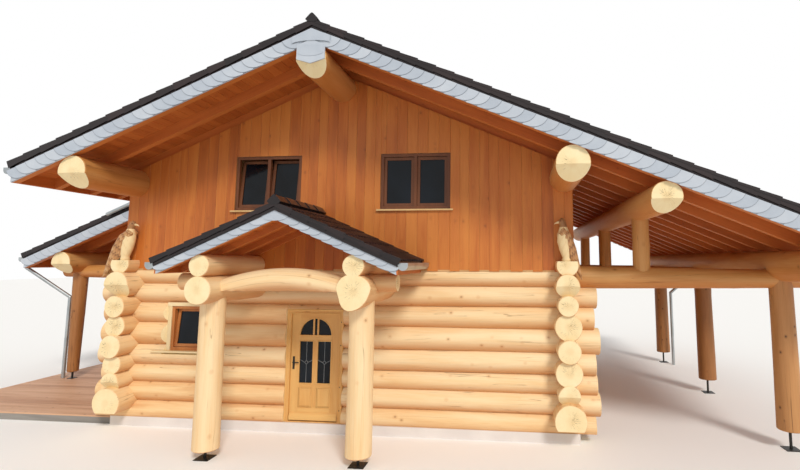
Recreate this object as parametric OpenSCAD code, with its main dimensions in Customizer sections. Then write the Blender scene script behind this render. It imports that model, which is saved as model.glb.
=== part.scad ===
// Alpine chalet: scribed log ground floor, boarded gable storey, one broad roof
// that runs down over an open carport on the right and a deck on the left.
// Millimetres, +Z up. X runs along the front, Y from the front to the back.

/* [House] */
// Distance between the centre lines of the two side log walls
house_w = 8760; // [8300:10:9200]
// Distance between the centre lines of the front and rear log walls
house_d = 7450; // [7000:10:8000]
// Height of the rendered base above the ground
plinth_h = 173; // [140:1:220]
// Height of the base under the side walls, whose logs lie half a course higher
raised_base_h = 330; // [300:5:360]
// Distance that the base stands out from the wall centre lines
plinth_out = 200; // [180:1:240]
// Thickness of the boarded ground floor
floor_t = 22; // [15:1:30]
// Thickness of the floor between the storeys
upper_floor_t = 160; // [120:1:200]

/* [Log walls] */
// Mean height that one log adds to a wall
course_h = 360; // [345:1:375]
// Radius of the lowest and the highest log of the front and rear walls
log_r = 208; // [200:1:216]
// Radius of the lowest log of the side walls
base_log_r = 280; // [270:1:300]
// Depth that a log is scribed over the one below it
scribe = 22; // [15:1:28]
// Length of the crossing log ends, from the corner's centre
log_end = 545; // [450:5:640]
// Difference in length from one log end to the next
end_vary = 50; // [0:5:80]
// Depth of the flat that is planed into the logs around an opening
plane_in = 75; // [60:1:90]
// Angle from the level of the slanted ends of the second and the seventh side logs
end_angle = 50; // [40:1:60]

/* [Upper storey] */
// Distance from the wall centre line to the outer face of the boarding
gable_out = 200; // [180:1:230]
// Distance from the wall centre line to the inner face of the gable walls
gable_in = 60; // [50:1:70]
// Half thickness of the low walls under the eaves
knee_half = 150; // [120:1:180]
// Distance that the gable boarding hangs below the floor between the storeys
board_drop = 50; // [20:1:80]

/* [Roof] */
// Rise of the main roof for each unit across
slope = 0.43; // [0.4:0.005:0.46]
// Height of the rafters' lower edge at the ridge
ridge_z = 6990; // [6900:10:7100]
// Distance from the ridge to the left eave over the house
main_eave = 5510; // [5400:10:5900]
// Distance from the ridge to the outer eaves over the carport and the deck
outer_eave = 9190; // [9000:10:9400]
// Distance that the verges stand out from the gable wall centre lines
verge_out = 1740; // [1600:10:1900]
// Depth of the rafters, measured upright
rafter_h = 200; // [160:5:240]
// Width of the rafters
rafter_w = 120; // [80:5:140]
// Thickness of the roof boarding, measured upright
boarding_t = 28; // [20:1:40]
// Thickness of battens and tiles, measured upright
tile_t = 180; // [150:5:260]
// Thickness of the tiles alone, which run on past the battens at the eaves
tile_lip = 60; // [50:1:80]
// Height of the rolls on the tiles
roll_h = 30; // [20:1:40]
// Distance between the rolls
roll_pitch = 150; // [140:1:180]
// Distance that the tiles stand out past the verge boards and the eaves
tile_out = 70; // [40:5:90]
// Thickness of the slate-clad verge boards
verge_t = 35; // [25:1:45]
// Half width of the ridge tiles
ridge_tile_w = 115; // [100:5:140]
// Height of the ridge tiles over the two slopes
ridge_tile_h = 105; // [90:5:180]
// Half width of the six-sided board before the ridge purlin's end
cap_w = 250; // [230:5:320]
// Height of that board's lower corner above the ground
cap_z = 6595; // [6560:5:6700]

/* [Purlins and posts] */
// Radius of the ridge purlin
ridge_purlin_r = 275; // [250:5:300]
// Radius of the purlins over the side walls
wall_purlin_r = 280; // [250:5:300]
// Radius of the purlins half way down the outer roofs
mid_purlin_r = 245; // [220:5:270]
// Radius of the purlins on the outer posts
eave_purlin_r = 275; // [250:5:300]
// Depth of the flat on a purlin that the rafters rest on
purlin_flat = 18; // [10:1:30]
// Height of the slanted cut below a purlin's end, down from near its centre
under_lift = 40; // [0:5:80]
// Angle of that cut from the level
under_angle = 43; // [40:1:60]
// Distance from the outer eaves back to the purlins on the outer posts
post_inset = 982; // [900:2:1100]
// Distance from the side walls' centre lines to the king posts and their purlins
king_out = 1410; // [1300:10:1500]
// Radius of the carport posts
post_r = 205; // [180:5:220]
// Radius of the deck posts at their upper ends
deck_post_r = 175; // [160:5:200]
// Radius of the deck posts at their lower ends
deck_post_low_r = 130; // [110:5:160]
// Radius of the king posts
king_r = 155; // [130:5:175]
// Radius of the tie logs at the outer posts
tie_r = 158; // [140:1:175]
// Height of the carport and deck posts' lower ends above the ground
post_foot = 330; // [250:5:400]
// Distance from the front wall centre line to the first deck post
deck_post_y = 2600; // [2400:10:2800]

/* [Porch] */
// Middle of the porch, left of the ridge
porch_x = -369; // [-450:1:-300]
// Distance between the porch post centres
porch_span = 2600; // [2500:10:2700]
// Distance from the front wall centre line to the porch posts
porch_post_y = 1520; // [1450:10:1600]
// Distance from the front wall centre line to the porch verge
porch_out = 2050; // [1950:10:2150]
// Radius of the porch posts
porch_post_r = 212; // [195:1:225]
// Height of the porch posts' lower ends above the ground
porch_foot = 150; // [120:5:200]
// Radius of the lower porch logs
plate_r = 232; // [220:1:245]
// Radius of the right lower porch log's butt end, at the front
butt_r = 286; // [270:1:295]
// Height of the lower porch logs' centres
plate_z = 2752; // [2720:2:2790]
// Radius of the upper porch logs
top_log_r = 180; // [170:1:195]
// Radius of the arched porch log
arch_r = 195; // [180:1:205]
// Rise of the arched porch log at its middle
arch_rise = 247; // [220:1:270]
// Height of the arched log's centre at its ends
arch_z = 2676; // [2650:2:2700]
// Height of the flat underside that is cut into the arched log
arch_under = 2735; // [2720:1:2750]
// Radius of the log ends that stand out past the lower porch logs
stub_r = 145; // [130:1:155]
// Distance that those log ends stand out, from the porch posts' centres
stub_out = 600; // [500:10:660]
// Rise of the porch roof for each unit across
porch_slope = 0.442; // [0.42:0.002:0.46]
// Height of the porch rafters' lower edge at the ridge
porch_ridge_z = 3910; // [3880:5:3950]
// Distance from the porch ridge to its eaves
porch_eave = 2000; // [1900:10:2100]
// Depth of the porch rafters, measured upright
porch_rafter_h = 110; // [90:5:130]
// Thickness of the porch tiles and battens, measured upright
porch_tile_t = 150; // [140:5:200]

/* [Door] */
// Middle of the front door, left of the ridge
door_x = -435; // [-480:1:-400]
// Width of the door frame
door_w = 1144; // [1100:2:1200]
// Height of the door frame's upper edge above the ground
door_top = 2300; // [2270:5:2330]
// Width of the frame that shows beside the door leaf
jamb_w = 88; // [70:1:100]
// Thickness of the door leaf
leaf_t = 56; // [45:1:60]
// Width that the frame laps over the leaf
door_lap = 14; // [10:1:18]
// Gap around the moving leaf
door_gap = 6; // [5:0.5:8]
// Radius of the hinge pins
hinge_r = 8; // [6:0.5:10]
// Middle width of the leaf between the two panes
door_mullion = 100; // [80:1:120]
// Width of each lower pane
pane_w = 264; // [240:2:280]
// Height of the lower panes above the ground, lower edge
pane_z0 = 890; // [860:5:920]
// Height of the lower panes above the ground, upper edge
pane_z1 = 1680; // [1650:5:1700]
// Height of the arched light's lower edge above the ground
fan_z = 1800; // [1780:5:1830]
// Radius of the arched light
fan_r = 315; // [290:5:330]
// Height of the two raised panels above the ground, lower edge
panel_z0 = 440; // [420:5:460]
// Height of the two raised panels above the ground, upper edge
panel_z1 = 800; // [780:5:820]
// Height of the weather bar's upper edge above the ground
bar_z = 340; // [310:5:370]
// Height of the door handle above the ground
handle_z = 1280; // [1200:10:1320]

/* [Windows] */
// Width of the frames in the log walls
log_window_w = 900; // [840:10:960]
// Height of the lower edge of the windows in the log walls
log_window_z0 = 1460; // [1420:5:1500]
// Height of the upper edge of the windows in the log walls
log_window_z1 = 2340; // [2300:5:2360]
// Distance from the ridge to the middle of the front ground window
log_window_x = 2990; // [2950:10:3050]
// Width of the gable windows
gable_window_w = 1390; // [1340:10:1450]
// Height of the lower edge of the gable windows
gable_window_z0 = 4246; // [4200:2:4300]
// Height of the upper edge of the gable windows
gable_window_z1 = 5354; // [5300:2:5400]
// Distance from the ridge to the middle of the gable windows
gable_window_x = 1512; // [1470:2:1560]
// Width of a window frame's bars
frame_bar = 62; // [50:1:75]
// Depth of a window frame
frame_d = 80; // [70:1:95]
// Width of a sash's bars
sash_bar = 58; // [45:1:70]
// Thickness of a sash
sash_t = 50; // [40:1:60]
// Thickness of the panes
glass_t = 8; // [6:1:12]
// Angle of the sashes that stand tilted
tilt = 6; // [0:0.5:8]

/* [Deck and drainage] */
// Distance that the deck stands out past the centres of its posts
deck_out = 752; // [650:2:800]
// Height of the deck above the ground
deck_h = 150; // [130:1:165]
// Thickness of the deck boards
deck_t = 28; // [20:1:35]
// Outer radius of the gutters
gutter_r = 80; // [60:1:80]
// Height of the gutters' upright sides over their round part
gutter_wall_h = 40; // [20:5:60]
// Outer radius of the downpipes
pipe_r = 45; // [38:1:50]
// Thickness of the gutters' metal
gutter_t = 6; // [4:1:8]

/* [Carved birds] */
// Height of a carved bird, without its tail
bird_h = 800; // [700:10:850]
// Greatest radius of a bird's body
bird_r = 112; // [100:2:125]

/* [Hidden] */

$fn = 48;
seat = 0.3;
big = 20000;
// Thickness of the boards across the rafter ends, and of the gable boarding.
eave_t = 25;
board_t = 30;
// Distances that ends stand back from, or run past, what is beside them.
purlin_back = 20;
tie_over = 400;
elbow_drop = 490;
pipe_beside = 190;
pipe_before = 400;
gutter_over = 20;
gutter_gap = 12;
gutter_drop = 45;
deck_over = 150;
plate_back = 50;
// Flats planed into the logs above and below an opening, and beside it.
flat_over = 70;
flat_beside = 90;
// Height of the flat on a log end over that log's centre.
perch_lift = 80;
// Distance that a window's frame lies behind the wall face around it.
log_recess = 5;
gable_recess = 15;

// The box of the whole house is centred on the origin from front to back.
total_d = house_d + porch_out + verge_out + 2 * tile_out;
front_y = porch_out + tile_out - total_d / 2;
rear_y = front_y + house_d;
mid_y = front_y + house_d / 2;
side_x = house_w / 2;
verge_front = front_y - verge_out;
verge_rear = rear_y + verge_out;

// Heights that the single logs add to a wall, as shares of the mean height.
course_step = [0.806, 1.017, 0.942, 1.094, 1.186, 1.1, 1.047, 0.939];
top_k = len(course_step) - 1;
function step_sum(k) = k == 0 ? 0 : step_sum(k - 1) + course_step[k - 1];
function joint_z(k) = plinth_h + course_h * step_sum(k);
wall_top = joint_z(top_k + 1);

// Logs of the front and rear walls, counted from the base.
function cross_r(k) = k == 0 || k == top_k ? log_r : course_h * course_step[k] / 2 + scribe;
function cross_z(k) =
    k == 0 ? joint_z(1) - log_r + scribe
    : k == top_k ? joint_z(k) + log_r - scribe
    : (joint_z(k) + joint_z(k + 1)) / 2;

// Logs of the left (s = -1) and the right (s = 1) side wall, on the higher base.
left_step = [1.125, 0.875, 0.917, 1.083, 1.056, 1.042, 1.29, 0.972];
right_step = [1.07, 0.94, 1.186, 1.01, 1.22, 0.89, 1.072, 0.972];
base_sink = 2.5 * scribe;
function side_sum(s, k) = k == 0 ? 0 : side_sum(s, k - 1) + (s > 0 ? right_step : left_step)[k - 1];
function side_joint_z(s, k) = raised_base_h + course_h * side_sum(s, k);
function side_r(s, k) = k == 0 ? base_log_r : (side_joint_z(s, k + 1) - side_joint_z(s, k)) / 2 + scribe;
function side_z(s, k) =
    k == 0 ? side_joint_z(s, 1) + base_sink - base_log_r
    : (side_joint_z(s, k) + side_joint_z(s, k + 1)) / 2;
side_top = side_z(1, top_k) + side_r(1, top_k) - 1.4 * scribe;

perch_z = side_z(1, top_k) + perch_lift;

function end_out(k) = log_end + end_vary * sin(k * 137);
function slanted(k) = k == 1 || k == top_k - 1;

// Heights of the rafters' lower edges across the main roof and the porch.
function roof_z(x) = ridge_z - slope * abs(x);
function porch_z(x) = porch_ridge_z - porch_slope * abs(x - porch_x);
slant = sqrt(1 + slope * slope);
porch_slant = sqrt(1 + porch_slope * porch_slope);
function purlin_z(x, r) = roof_z(x) - (r - purlin_flat) * slant;
tile_z0 = rafter_h + boarding_t;

// Rafters: one pair on each gable wall, equal spaces between, two pairs outside.
bays = 11;
wall_rafter = front_y - (gable_out - gable_in) / 2;
out_bay = (wall_rafter - verge_front - rafter_w / 2) / 2;
rear_rafter = rear_y + (gable_out - gable_in) / 2;
rafter_y = concat([wall_rafter - 2 * out_bay, wall_rafter - out_bay],
                  [for (i = [0:bays]) wall_rafter + i * (rear_rafter - wall_rafter) / bays],
                  [rear_rafter + out_bay, rear_rafter + 2 * out_bay]);
terrace_k = 5;
terrace_verge = rafter_y[terrace_k] - rafter_w / 2;

// Places of the outer posts and of the king posts between them and the house.
post_x = outer_eave - post_inset;
king_x = side_x + king_out;
tie_x = post_x + tie_over;
carport_y = [front_y, mid_y, rear_y];
deck_y = [front_y + deck_post_y, rear_y];

// Door and hinge, in plan. The leaf opens inwards about its right edge.
door_x0 = door_x - door_w / 2;
door_x1 = door_x + door_w / 2;
frame_out = 150;
frame_in = 60;
stop_t = 40;
frame_front = front_y - frame_out;
frame_back = front_y + frame_in;
stop_back = frame_front + stop_t;
leaf_y0 = stop_back + door_gap;
leaf_y1 = leaf_y0 + leaf_t;
leaf_x0 = door_x0 + jamb_w - door_lap;
leaf_x1 = door_x1 - jamb_w + door_lap;
threshold_z = plinth_h + floor_t + 3;
leaf_z0 = threshold_z + door_gap + 1;
leaf_z1 = door_top - jamb_w + door_lap;
hinge_x = leaf_x1 + door_gap - hinge_r - seat;
hinge_y = leaf_y1 + hinge_r + seat;
latch_gap = door_gap + 3;

deck_x1 = -side_x - plinth_out;
deck_x0 = -post_x - deck_out;
porch_front = front_y - porch_out;
porch_back = front_y - gable_out;
porch_post_x = [porch_x - porch_span / 2, porch_x + porch_span / 2];
porch_rafter_w = rafter_w * 0.7;
porch_board_z = porch_rafter_h + boarding_t;
top_log_z = porch_z(porch_post_x[1]) - (top_log_r - purlin_flat) * porch_slant;

// Outer faces of the walls' boarding and planed logs, behind which the windows sit.
log_window_y = front_y - cross_r(4) + plane_in + log_recess;
gable_window_y = front_y - gable_out + gable_recess;

// Round log along X from x0 to x1, and along Y from y0 to y1.
module x_log(x0, x1, y, z, r) {
    translate([x0, y, z])
        rotate([0, 90, 0])
            cylinder(h = x1 - x0, r = r);
}

module y_log(x, y0, y1, z, r) {
    translate([x, y1, z])
        rotate([90, 0, 0])
            cylinder(h = y1 - y0, r = r);
}

// Box from its lowest to its highest corner.
module block(a, b) {
    translate(a)
        cube(b - a);
}

// Prism along Y of an outline drawn in X and Z.
module y_prism(points, y0, y1) {
    translate([0, y1, 0])
        rotate([90, 0, 0])
            linear_extrude(y1 - y0)
                polygon(points);
}

// Slab that follows one side of the main roof, from z0 to z1 over the rafters' lower edge.
module roof_slab(side, x0, x1, y0, y1, z0, z1) {
    y_prism([[side * x0, roof_z(x0) + z0], [side * x1, roof_z(x1) + z0],
             [side * x1, roof_z(x1) + z1], [side * x0, roof_z(x0) + z1]], y0, y1);
}

// Everything above the rafters' lower edge, to trim purlins and walls.
module above_roof(y0, y1) {
    y_prism([[-big, roof_z(big)], [0, ridge_z], [big, roof_z(big)], [big, big], [-big, big]], y0, y1);
}

module above_porch(y0, y1) {
    y_prism([[porch_x - big, porch_z(porch_x - big)], [porch_x, porch_ridge_z],
             [porch_x + big, porch_z(porch_x + big)], [porch_x + big, big], [porch_x - big, big]], y0, y1);
}

// What is cut off below a log end that faces -Y, from the X axis down at an angle.
module end_cut(r, angle) {
    rotate([-angle, 0, 0])
        translate([-r - 1, -2 * r, -2 * r])
            cube([2 * r + 2, 6 * r, 2 * r]);
}

// One log of the front or rear wall, notched over the side logs below it.
module cross_log(k, y, x0, x1) {
    difference() {
        x_log(x0, x1, y, cross_z(k), cross_r(k));
        if (k > 0)
            for (s = [-1, 1])
                side_round(s, k - 1, y);
        if (k == 0)
            block([x0 - 1, y - big, -big], [x1 + 1, y + big, plinth_h]);
    }
}

// Full round of a side log where it crosses the front or the rear wall.
module side_round(s, k, y) {
    y_log(s * side_x, y - 2 * log_end, y + 2 * log_end, side_z(s, k), side_r(s, k));
}

// One side log, notched over the front and rear logs below it.
module side_log(k, s) {
    x = s * side_x;
    y0 = front_y - end_out(k + 3);
    y1 = rear_y + end_out(k + 5);
    r = side_r(s, k);
    difference() {
        y_log(x, y0, y1, side_z(s, k), r);
        for (y = [front_y, rear_y])
            x_log(x - 2 * log_end, x + 2 * log_end, y, cross_z(k), cross_r(k));
        if (k == 0)
            block([x - big, front_y - big, -big], [x + big, rear_y + big, raised_base_h]);
        if (k == top_k) {
            block([x - big, front_y + gable_in, side_top], [x + big, rear_y - gable_in, big]);
            block([x - big, front_y - big, perch_z], [x + big, front_y - gable_out, big]);
            block([x - big, rear_y + gable_out, perch_z], [x + big, rear_y + big, big]);
        }
        if (slanted(k)) {
            translate([x, y0, side_z(s, k)])
                end_cut(r, end_angle);
            translate([x, y1, side_z(s, k)])
                rotate([0, 0, 180])
                    end_cut(r, end_angle);
        }
    }
}

// Opening in a log wall that faces -Y, with the logs planed flat around it.
module log_opening(x, y, w, z0, z1) {
    out = cross_r(4) + plane_in;
    flat_y = y - cross_r(4) + plane_in;
    flat_x = w / 2 + flat_beside;
    block([x - w / 2, y - 2 * out, z0], [x + w / 2, y + 2 * out, z1]);
    translate([0, 0, z0 - flat_over])
        linear_extrude(z1 - z0 + 2 * flat_over)
            polygon([[x - flat_x, flat_y], [x + flat_x, flat_y],
                     [x + flat_x + out, flat_y - out], [x - flat_x - out, flat_y - out]]);
}

// Base slab, with a raised strip under each side wall, between the lowest cross logs.
module plinth() {
    color("whitesmoke") {
        block([-side_x - plinth_out, front_y - plinth_out, 0],
              [side_x + plinth_out, rear_y + plinth_out, plinth_h]);
        for (s = [-1, 1])
            translate([s * side_x, 0, 0])
                block([-plinth_out, front_y + log_r + seat, 0],
                      [plinth_out, rear_y - log_r - seat, raised_base_h]);
    }
}

module ground_floor() {
    edge = log_r + 1;
    color("burlywood")
        block([-side_x + edge, front_y + edge, plinth_h], [side_x - edge, rear_y - edge, plinth_h + floor_t]);
}

module front_wall_left() {
    color("navajowhite")
        difference() {
            for (k = [0:5])
                cross_log(k, front_y, -side_x - end_out(k), door_x0);
            log_opening(-log_window_x, front_y, log_window_w, log_window_z0, log_window_z1);
        }
}

module front_wall_right() {
    color("navajowhite")
        for (k = [0:5])
            cross_log(k, front_y, door_x1, side_x + end_out(k + 2));
}

module front_wall_over_door() {
    color("navajowhite") {
        difference() {
            cross_log(6, front_y, -side_x - end_out(6), side_x + end_out(8));
            x_log(-big, door_x0, front_y, cross_z(5), cross_r(5));
            x_log(door_x1, big, front_y, cross_z(5), cross_r(5));
        }
        difference() {
            x_log(door_x0, door_x1, front_y, cross_z(5), cross_r(5));
            block([door_x0 - 1, front_y - big, 0], [door_x1 + 1, front_y + big, door_top]);
        }
    }
}

// Outer part of a log that ties a post to the house, tapered to the post.
module tie_end(side, y) {
    translate([side * (side_x + log_end), y, cross_z(top_k)])
        rotate([0, side * 90, 0])
            cylinder(h = tie_x - side_x - log_end, r1 = log_r, r2 = tie_r);
}

// Log of full radius from x0 to x1, that tapers on out to the posts at either end.
module tapered_log(y, x0, x1, ends) {
    left = ends[0] ? [[0, -tie_x], [tie_r, -tie_x]] : [[0, x0]];
    right = ends[1] ? [[tie_r, tie_x], [0, tie_x]] : [[0, x1]];
    translate([0, y, cross_z(top_k)])
        rotate([0, 90, 0])
            rotate_extrude()
                polygon(concat(left, [[log_r, x0], [log_r, x1]], right));
}

// Top log of a gable wall, flat under the floor between the storeys.
module top_log(y, ends) {
    difference() {
        tapered_log(y, -side_x - (ends[0] ? log_end : end_out(top_k)), side_x + log_end, ends);
        x_log(-big, big, y, cross_z(top_k - 1), cross_r(top_k - 1));
        for (s = [-1, 1])
            side_round(s, top_k - 1, y);
        block([-side_x + knee_half, y - big, wall_top], [side_x - knee_half, y + big, big]);
    }
}

module front_top_log() {
    color("navajowhite")
        top_log(front_y, [false, true]);
}

module rear_top_log() {
    color("navajowhite")
        top_log(rear_y, [true, true]);
}

module side_wall(s) {
    difference() {
        for (k = [0:top_k])
            side_log(k, s);
        for (t = [-1, 1])
            translate([s * side_x, mid_y + t * house_d / 4, 0])
                rotate([0, 0, s * 90])
                    log_opening(0, 0, log_window_w, log_window_z0, log_window_z1);
    }
}

module left_wall() {
    color("navajowhite")
        side_wall(-1);
}

module right_wall() {
    color("navajowhite")
        side_wall(1);
}

module rear_wall() {
    color("navajowhite")
        difference() {
            for (k = [0:6])
                cross_log(k, rear_y, -side_x - end_out(k + 4), side_x + end_out(k + 1));
            for (s = [-1, 1])
                translate([s * log_window_x, rear_y, 0])
                    rotate([0, 0, 180])
                        log_opening(0, 0, log_window_w, log_window_z0, log_window_z1);
        }
}

module upper_floor() {
    edge = side_r(1, top_k) + seat;
    color("burlywood")
        block([-side_x + edge, front_y + gable_in, wall_top],
              [side_x - edge, rear_y - gable_in, wall_top + upper_floor_t]);
}

// Gable wall at the front; the boards hang over the top log by board_drop.
module gable_wall() {
    half = side_x + knee_half;
    difference() {
        union() {
            y_prism([[-half, wall_top], [half, wall_top], [half, roof_z(half)], [0, ridge_z],
                     [-half, roof_z(half)]], front_y - gable_out + board_t, front_y + gable_in);
            y_prism([[-half, wall_top - board_drop], [half, wall_top - board_drop], [half, roof_z(half)],
                     [0, ridge_z], [-half, roof_z(half)]], front_y - gable_out, front_y - gable_out + board_t);
        }
        for (s = [-1, 1]) {
            side_round(s, top_k, front_y);
            y_log(s * side_x, front_y - big, front_y + big, purlin_z(side_x, wall_purlin_r), wall_purlin_r);
            block([s * gable_window_x - gable_window_w / 2, front_y - big, gable_window_z0],
                  [s * gable_window_x + gable_window_w / 2, front_y + big, gable_window_z1]);
        }
        x_log(-big, big, front_y, cross_z(top_k), log_r);
        y_log(0, front_y - big, front_y + big, purlin_z(0, ridge_purlin_r), ridge_purlin_r);
        block([-ridge_purlin_r / 2, front_y - big, purlin_z(0, ridge_purlin_r)],
              [ridge_purlin_r / 2, front_y + big, ridge_z + 1]);
    }
}

module front_gable() {
    color("peru")
        gable_wall();
}

module rear_gable() {
    color("peru")
        translate([0, front_y + rear_y, 0])
            rotate([0, 0, 180])
                gable_wall();
}

module knee_wall(s) {
    z = purlin_z(side_x, wall_purlin_r);
    difference() {
        block([s * side_x - knee_half, front_y + gable_in, side_top],
              [s * side_x + knee_half, rear_y - gable_in, z - wall_purlin_r / 2]);
        y_log(s * side_x, front_y, rear_y, z, wall_purlin_r);
    }
}

module left_knee_wall() {
    color("peru")
        knee_wall(-1);
}

module right_knee_wall() {
    color("peru")
        knee_wall(1);
}

// Purlin under one or both roof slopes, planed flat where the rafters rest.
module purlin(x, y0, y1, r) {
    z = purlin_z(x, r);
    difference() {
        y_log(x, y0, y1, z, r);
        above_roof(y0 - 1, y1 + 1);
        translate([x, y0, z - under_lift])
            end_cut(r, under_angle);
        translate([x, y1, z - under_lift])
            rotate([0, 0, 180])
                end_cut(r, under_angle);
    }
}

module ridge_purlin() {
    color("wheat")
        purlin(0, verge_front - verge_t, verge_rear + verge_t, ridge_purlin_r);
}

module wall_purlins() {
    color("wheat")
        for (s = [-1, 1])
            purlin(s * side_x, verge_front + purlin_back, verge_rear - purlin_back, wall_purlin_r);
}

// King posts' purlins; the one over the deck starts at its own verge.
module mid_purlins() {
    color("wheat") {
        purlin(king_x, verge_front + purlin_back, verge_rear - purlin_back, mid_purlin_r);
        purlin(-king_x, terrace_verge + purlin_back, verge_rear - purlin_back, mid_purlin_r);
    }
}

// Tie log from a side wall out to a post, scribed to the wall's logs.
module wall_tie(s, y) {
    difference() {
        tapered_log(y, s > 0 ? side_x : -side_x - log_end, s > 0 ? side_x + log_end : -side_x, [s < 0, s > 0]);
        for (k = [top_k - 1, top_k])
            y_log(s * side_x, front_y - big, rear_y + big, side_z(s, k), side_r(s, k));
    }
}

module tie_logs() {
    color("wheat") {
        wall_tie(1, mid_y);
        wall_tie(-1, front_y + deck_post_y);
    }
}

// Eave purlin, notched over the tie logs.
module eave_purlin(side, y0, tie_y) {
    difference() {
        purlin(side * post_x, y0, verge_rear - purlin_back, eave_purlin_r);
        for (y = tie_y)
            tie_end(side, y);
    }
}

module eave_purlins() {
    color("wheat") {
        eave_purlin(1, verge_front + purlin_back, carport_y);
        eave_purlin(-1, terrace_verge + purlin_back, deck_y);
    }
}

// Post between a tie log and the purlin over it, scribed to both.
module king_post(side, y) {
    z = purlin_z(king_x, mid_purlin_r);
    difference() {
        translate([side * king_x, y, cross_z(top_k)])
            cylinder(h = z - cross_z(top_k), r = king_r);
        tie_end(side, y);
        y_log(side * king_x, y - big, y + big, z, mid_purlin_r);
    }
}

module king_posts() {
    color("peru") {
        for (y = carport_y)
            king_post(1, y);
        for (y = deck_y)
            king_post(-1, y);
    }
}

// Outer post that carries the tie log and the eave purlin.
module outer_post(side, y, low_r, r) {
    difference() {
        translate([side * post_x, y, post_foot])
            cylinder(h = cross_z(top_k) - post_foot, r1 = low_r, r2 = r);
        tie_end(side, y);
        y_log(side * post_x, y - big, y + big, purlin_z(post_x, eave_purlin_r), eave_purlin_r);
    }
}

module carport_posts() {
    color("tan")
        for (y = carport_y)
            outer_post(1, y, post_r, post_r);
}

module deck_posts() {
    color("tan")
        for (y = deck_y)
            outer_post(-1, y, deck_post_low_r, deck_post_r);
}

// Steel foot: plate on the ground, rod, and a round plate under the post.
module shoe(x, y, z0, z1, r) {
    plate = 10;
    rod_r = 24;
    translate([x, y, z0]) {
        translate([-r * 0.6, -r * 0.6, 0])
            cube([r * 1.2, r * 1.2, plate]);
        cylinder(h = z1 - z0, r = rod_r);
        translate([0, 0, z1 - z0 - plate])
            cylinder(h = plate, r = r * 0.7);
    }
}

module post_shoes() {
    color("dimgray") {
        for (y = carport_y)
            shoe(post_x, y, 0, post_foot, post_r);
        for (y = deck_y)
            shoe(-post_x, y, deck_h, post_foot, deck_post_low_r);
        for (x = porch_post_x)
            shoe(x, front_y - porch_post_y, 0, porch_foot, porch_post_r);
    }
}

module rafters_left() {
    color("chocolate")
        for (k = [0:len(rafter_y) - 1]) {
            end = k < terrace_k ? main_eave : outer_eave;
            roof_slab(-1, 0, end, rafter_y[k] - rafter_w / 2, rafter_y[k] + rafter_w / 2, 0, rafter_h);
        }
}

module rafters_right() {
    color("chocolate")
        for (k = [0:len(rafter_y) - 1])
            roof_slab(1, 0, outer_eave, rafter_y[k] - rafter_w / 2, rafter_y[k] + rafter_w / 2, 0, rafter_h);
}

module roof_boards_left() {
    color("chocolate")
        roof_slab(-1, 0, main_eave, verge_front, verge_rear, rafter_h, tile_z0);
}

module roof_boards_right() {
    color("chocolate")
        roof_slab(1, 0, outer_eave, verge_front, verge_rear, rafter_h, tile_z0);
}

module terrace_roof_boards() {
    color("chocolate")
        roof_slab(-1, main_eave, outer_eave, terrace_verge, verge_rear, rafter_h, tile_z0);
}

// Outline across a tiled slope: the tiles' rolls of height h, one pitch apart along Y,
// rooted in the tiles below them.
function roll_points(y0, y1, h) =
    let (n = 2 * round((y1 - y0) / roll_pitch / 2), pitch = (y1 - y0) / n, root = pitch / 6)
    concat([[y0 + root / 3, -h / 2]],
           [for (i = [0:n - 1]) for (q = [[0.7, -h / 4], [2.2, h], [3.8, h], [5.3, -h / 4]])
               [y0 + i * pitch + q[0] * root, q[1]]],
           [[y1 - root / 3, -h / 2]]);

// Tiles and battens on one side of a roof, from x0 to x1 out from its ridge at
// (peak[0], peak[1]): thickness t, rolls on top, and the tiles alone past the eave x2.
module tile_field(side, peak, rise, x0, x1, x2, y0, y1, t) {
    steep = sqrt(1 + rise * rise);
    start = roll_h * rise;
    flat = t - roll_h;
    lip = t - tile_lip;
    translate([peak[0], 0, peak[1]])
        mirror([side > 0 ? 0 : 1, 0, 0]) {
            y_prism([[x0, -rise * x0], [x2, -rise * x2], [x2, lip - rise * x2], [x1, lip - rise * x1],
                     [x1, flat - rise * x1], [x0, flat - rise * x0]], y0, y1);
            translate([x0, 0, flat - rise * x0])
                rotate([0, atan(rise), 0])
                    translate([start, 0, 0])
                        rotate([90, 0, 90])
                            linear_extrude((x1 - x0) * steep - 2 * start)
                                polygon(roll_points(y0, y1, roll_h / steep));
        }
}

module roof_field(side, x0, x1, x2, y0, y1) {
    tile_field(side, [0, ridge_z + tile_z0], slope, x0, x1, x2, y0, y1, tile_t);
}

module roof_tiles_left() {
    color("dimgray")
        difference() {
            roof_field(-1, 0, main_eave + tile_out, main_eave + eave_t,
                       verge_front - tile_out, verge_rear + tile_out);
            block([-big, terrace_verge - tile_out, 0], [-main_eave, big, big]);
        }
}

module roof_tiles_right() {
    color("dimgray")
        roof_field(1, 0, outer_eave + tile_out, outer_eave + eave_t,
                   verge_front - tile_out, verge_rear + tile_out);
}

module terrace_roof_tiles() {
    color("dimgray")
        roof_field(-1, main_eave, outer_eave + tile_out, outer_eave + eave_t,
                   terrace_verge - tile_out, verge_rear + tile_out);
}

// Angular ridge tiles, whose sides draw in below their edges to the two slopes.
module ridge_run(x, z, y0, y1, pitch) {
    w = ridge_tile_w;
    foot = w * 0.6;
    side_h = ridge_tile_h - w * 1.04;
    translate([x, 0, z])
        y_prism([[-foot, -foot * pitch], [0, 0], [foot, -foot * pitch], [w, side_h], [0, ridge_tile_h],
                 [-w, side_h]], y0, y1);
}

module ridge_tiles() {
    color("dimgray") {
        ridge_run(0, ridge_z + tile_z0 + tile_t, verge_front - tile_out, verge_rear + tile_out, slope);
        ridge_run(porch_x, porch_ridge_z + porch_board_z + porch_tile_t, porch_front - tile_out, porch_back,
                  porch_slope);
    }
}

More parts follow.
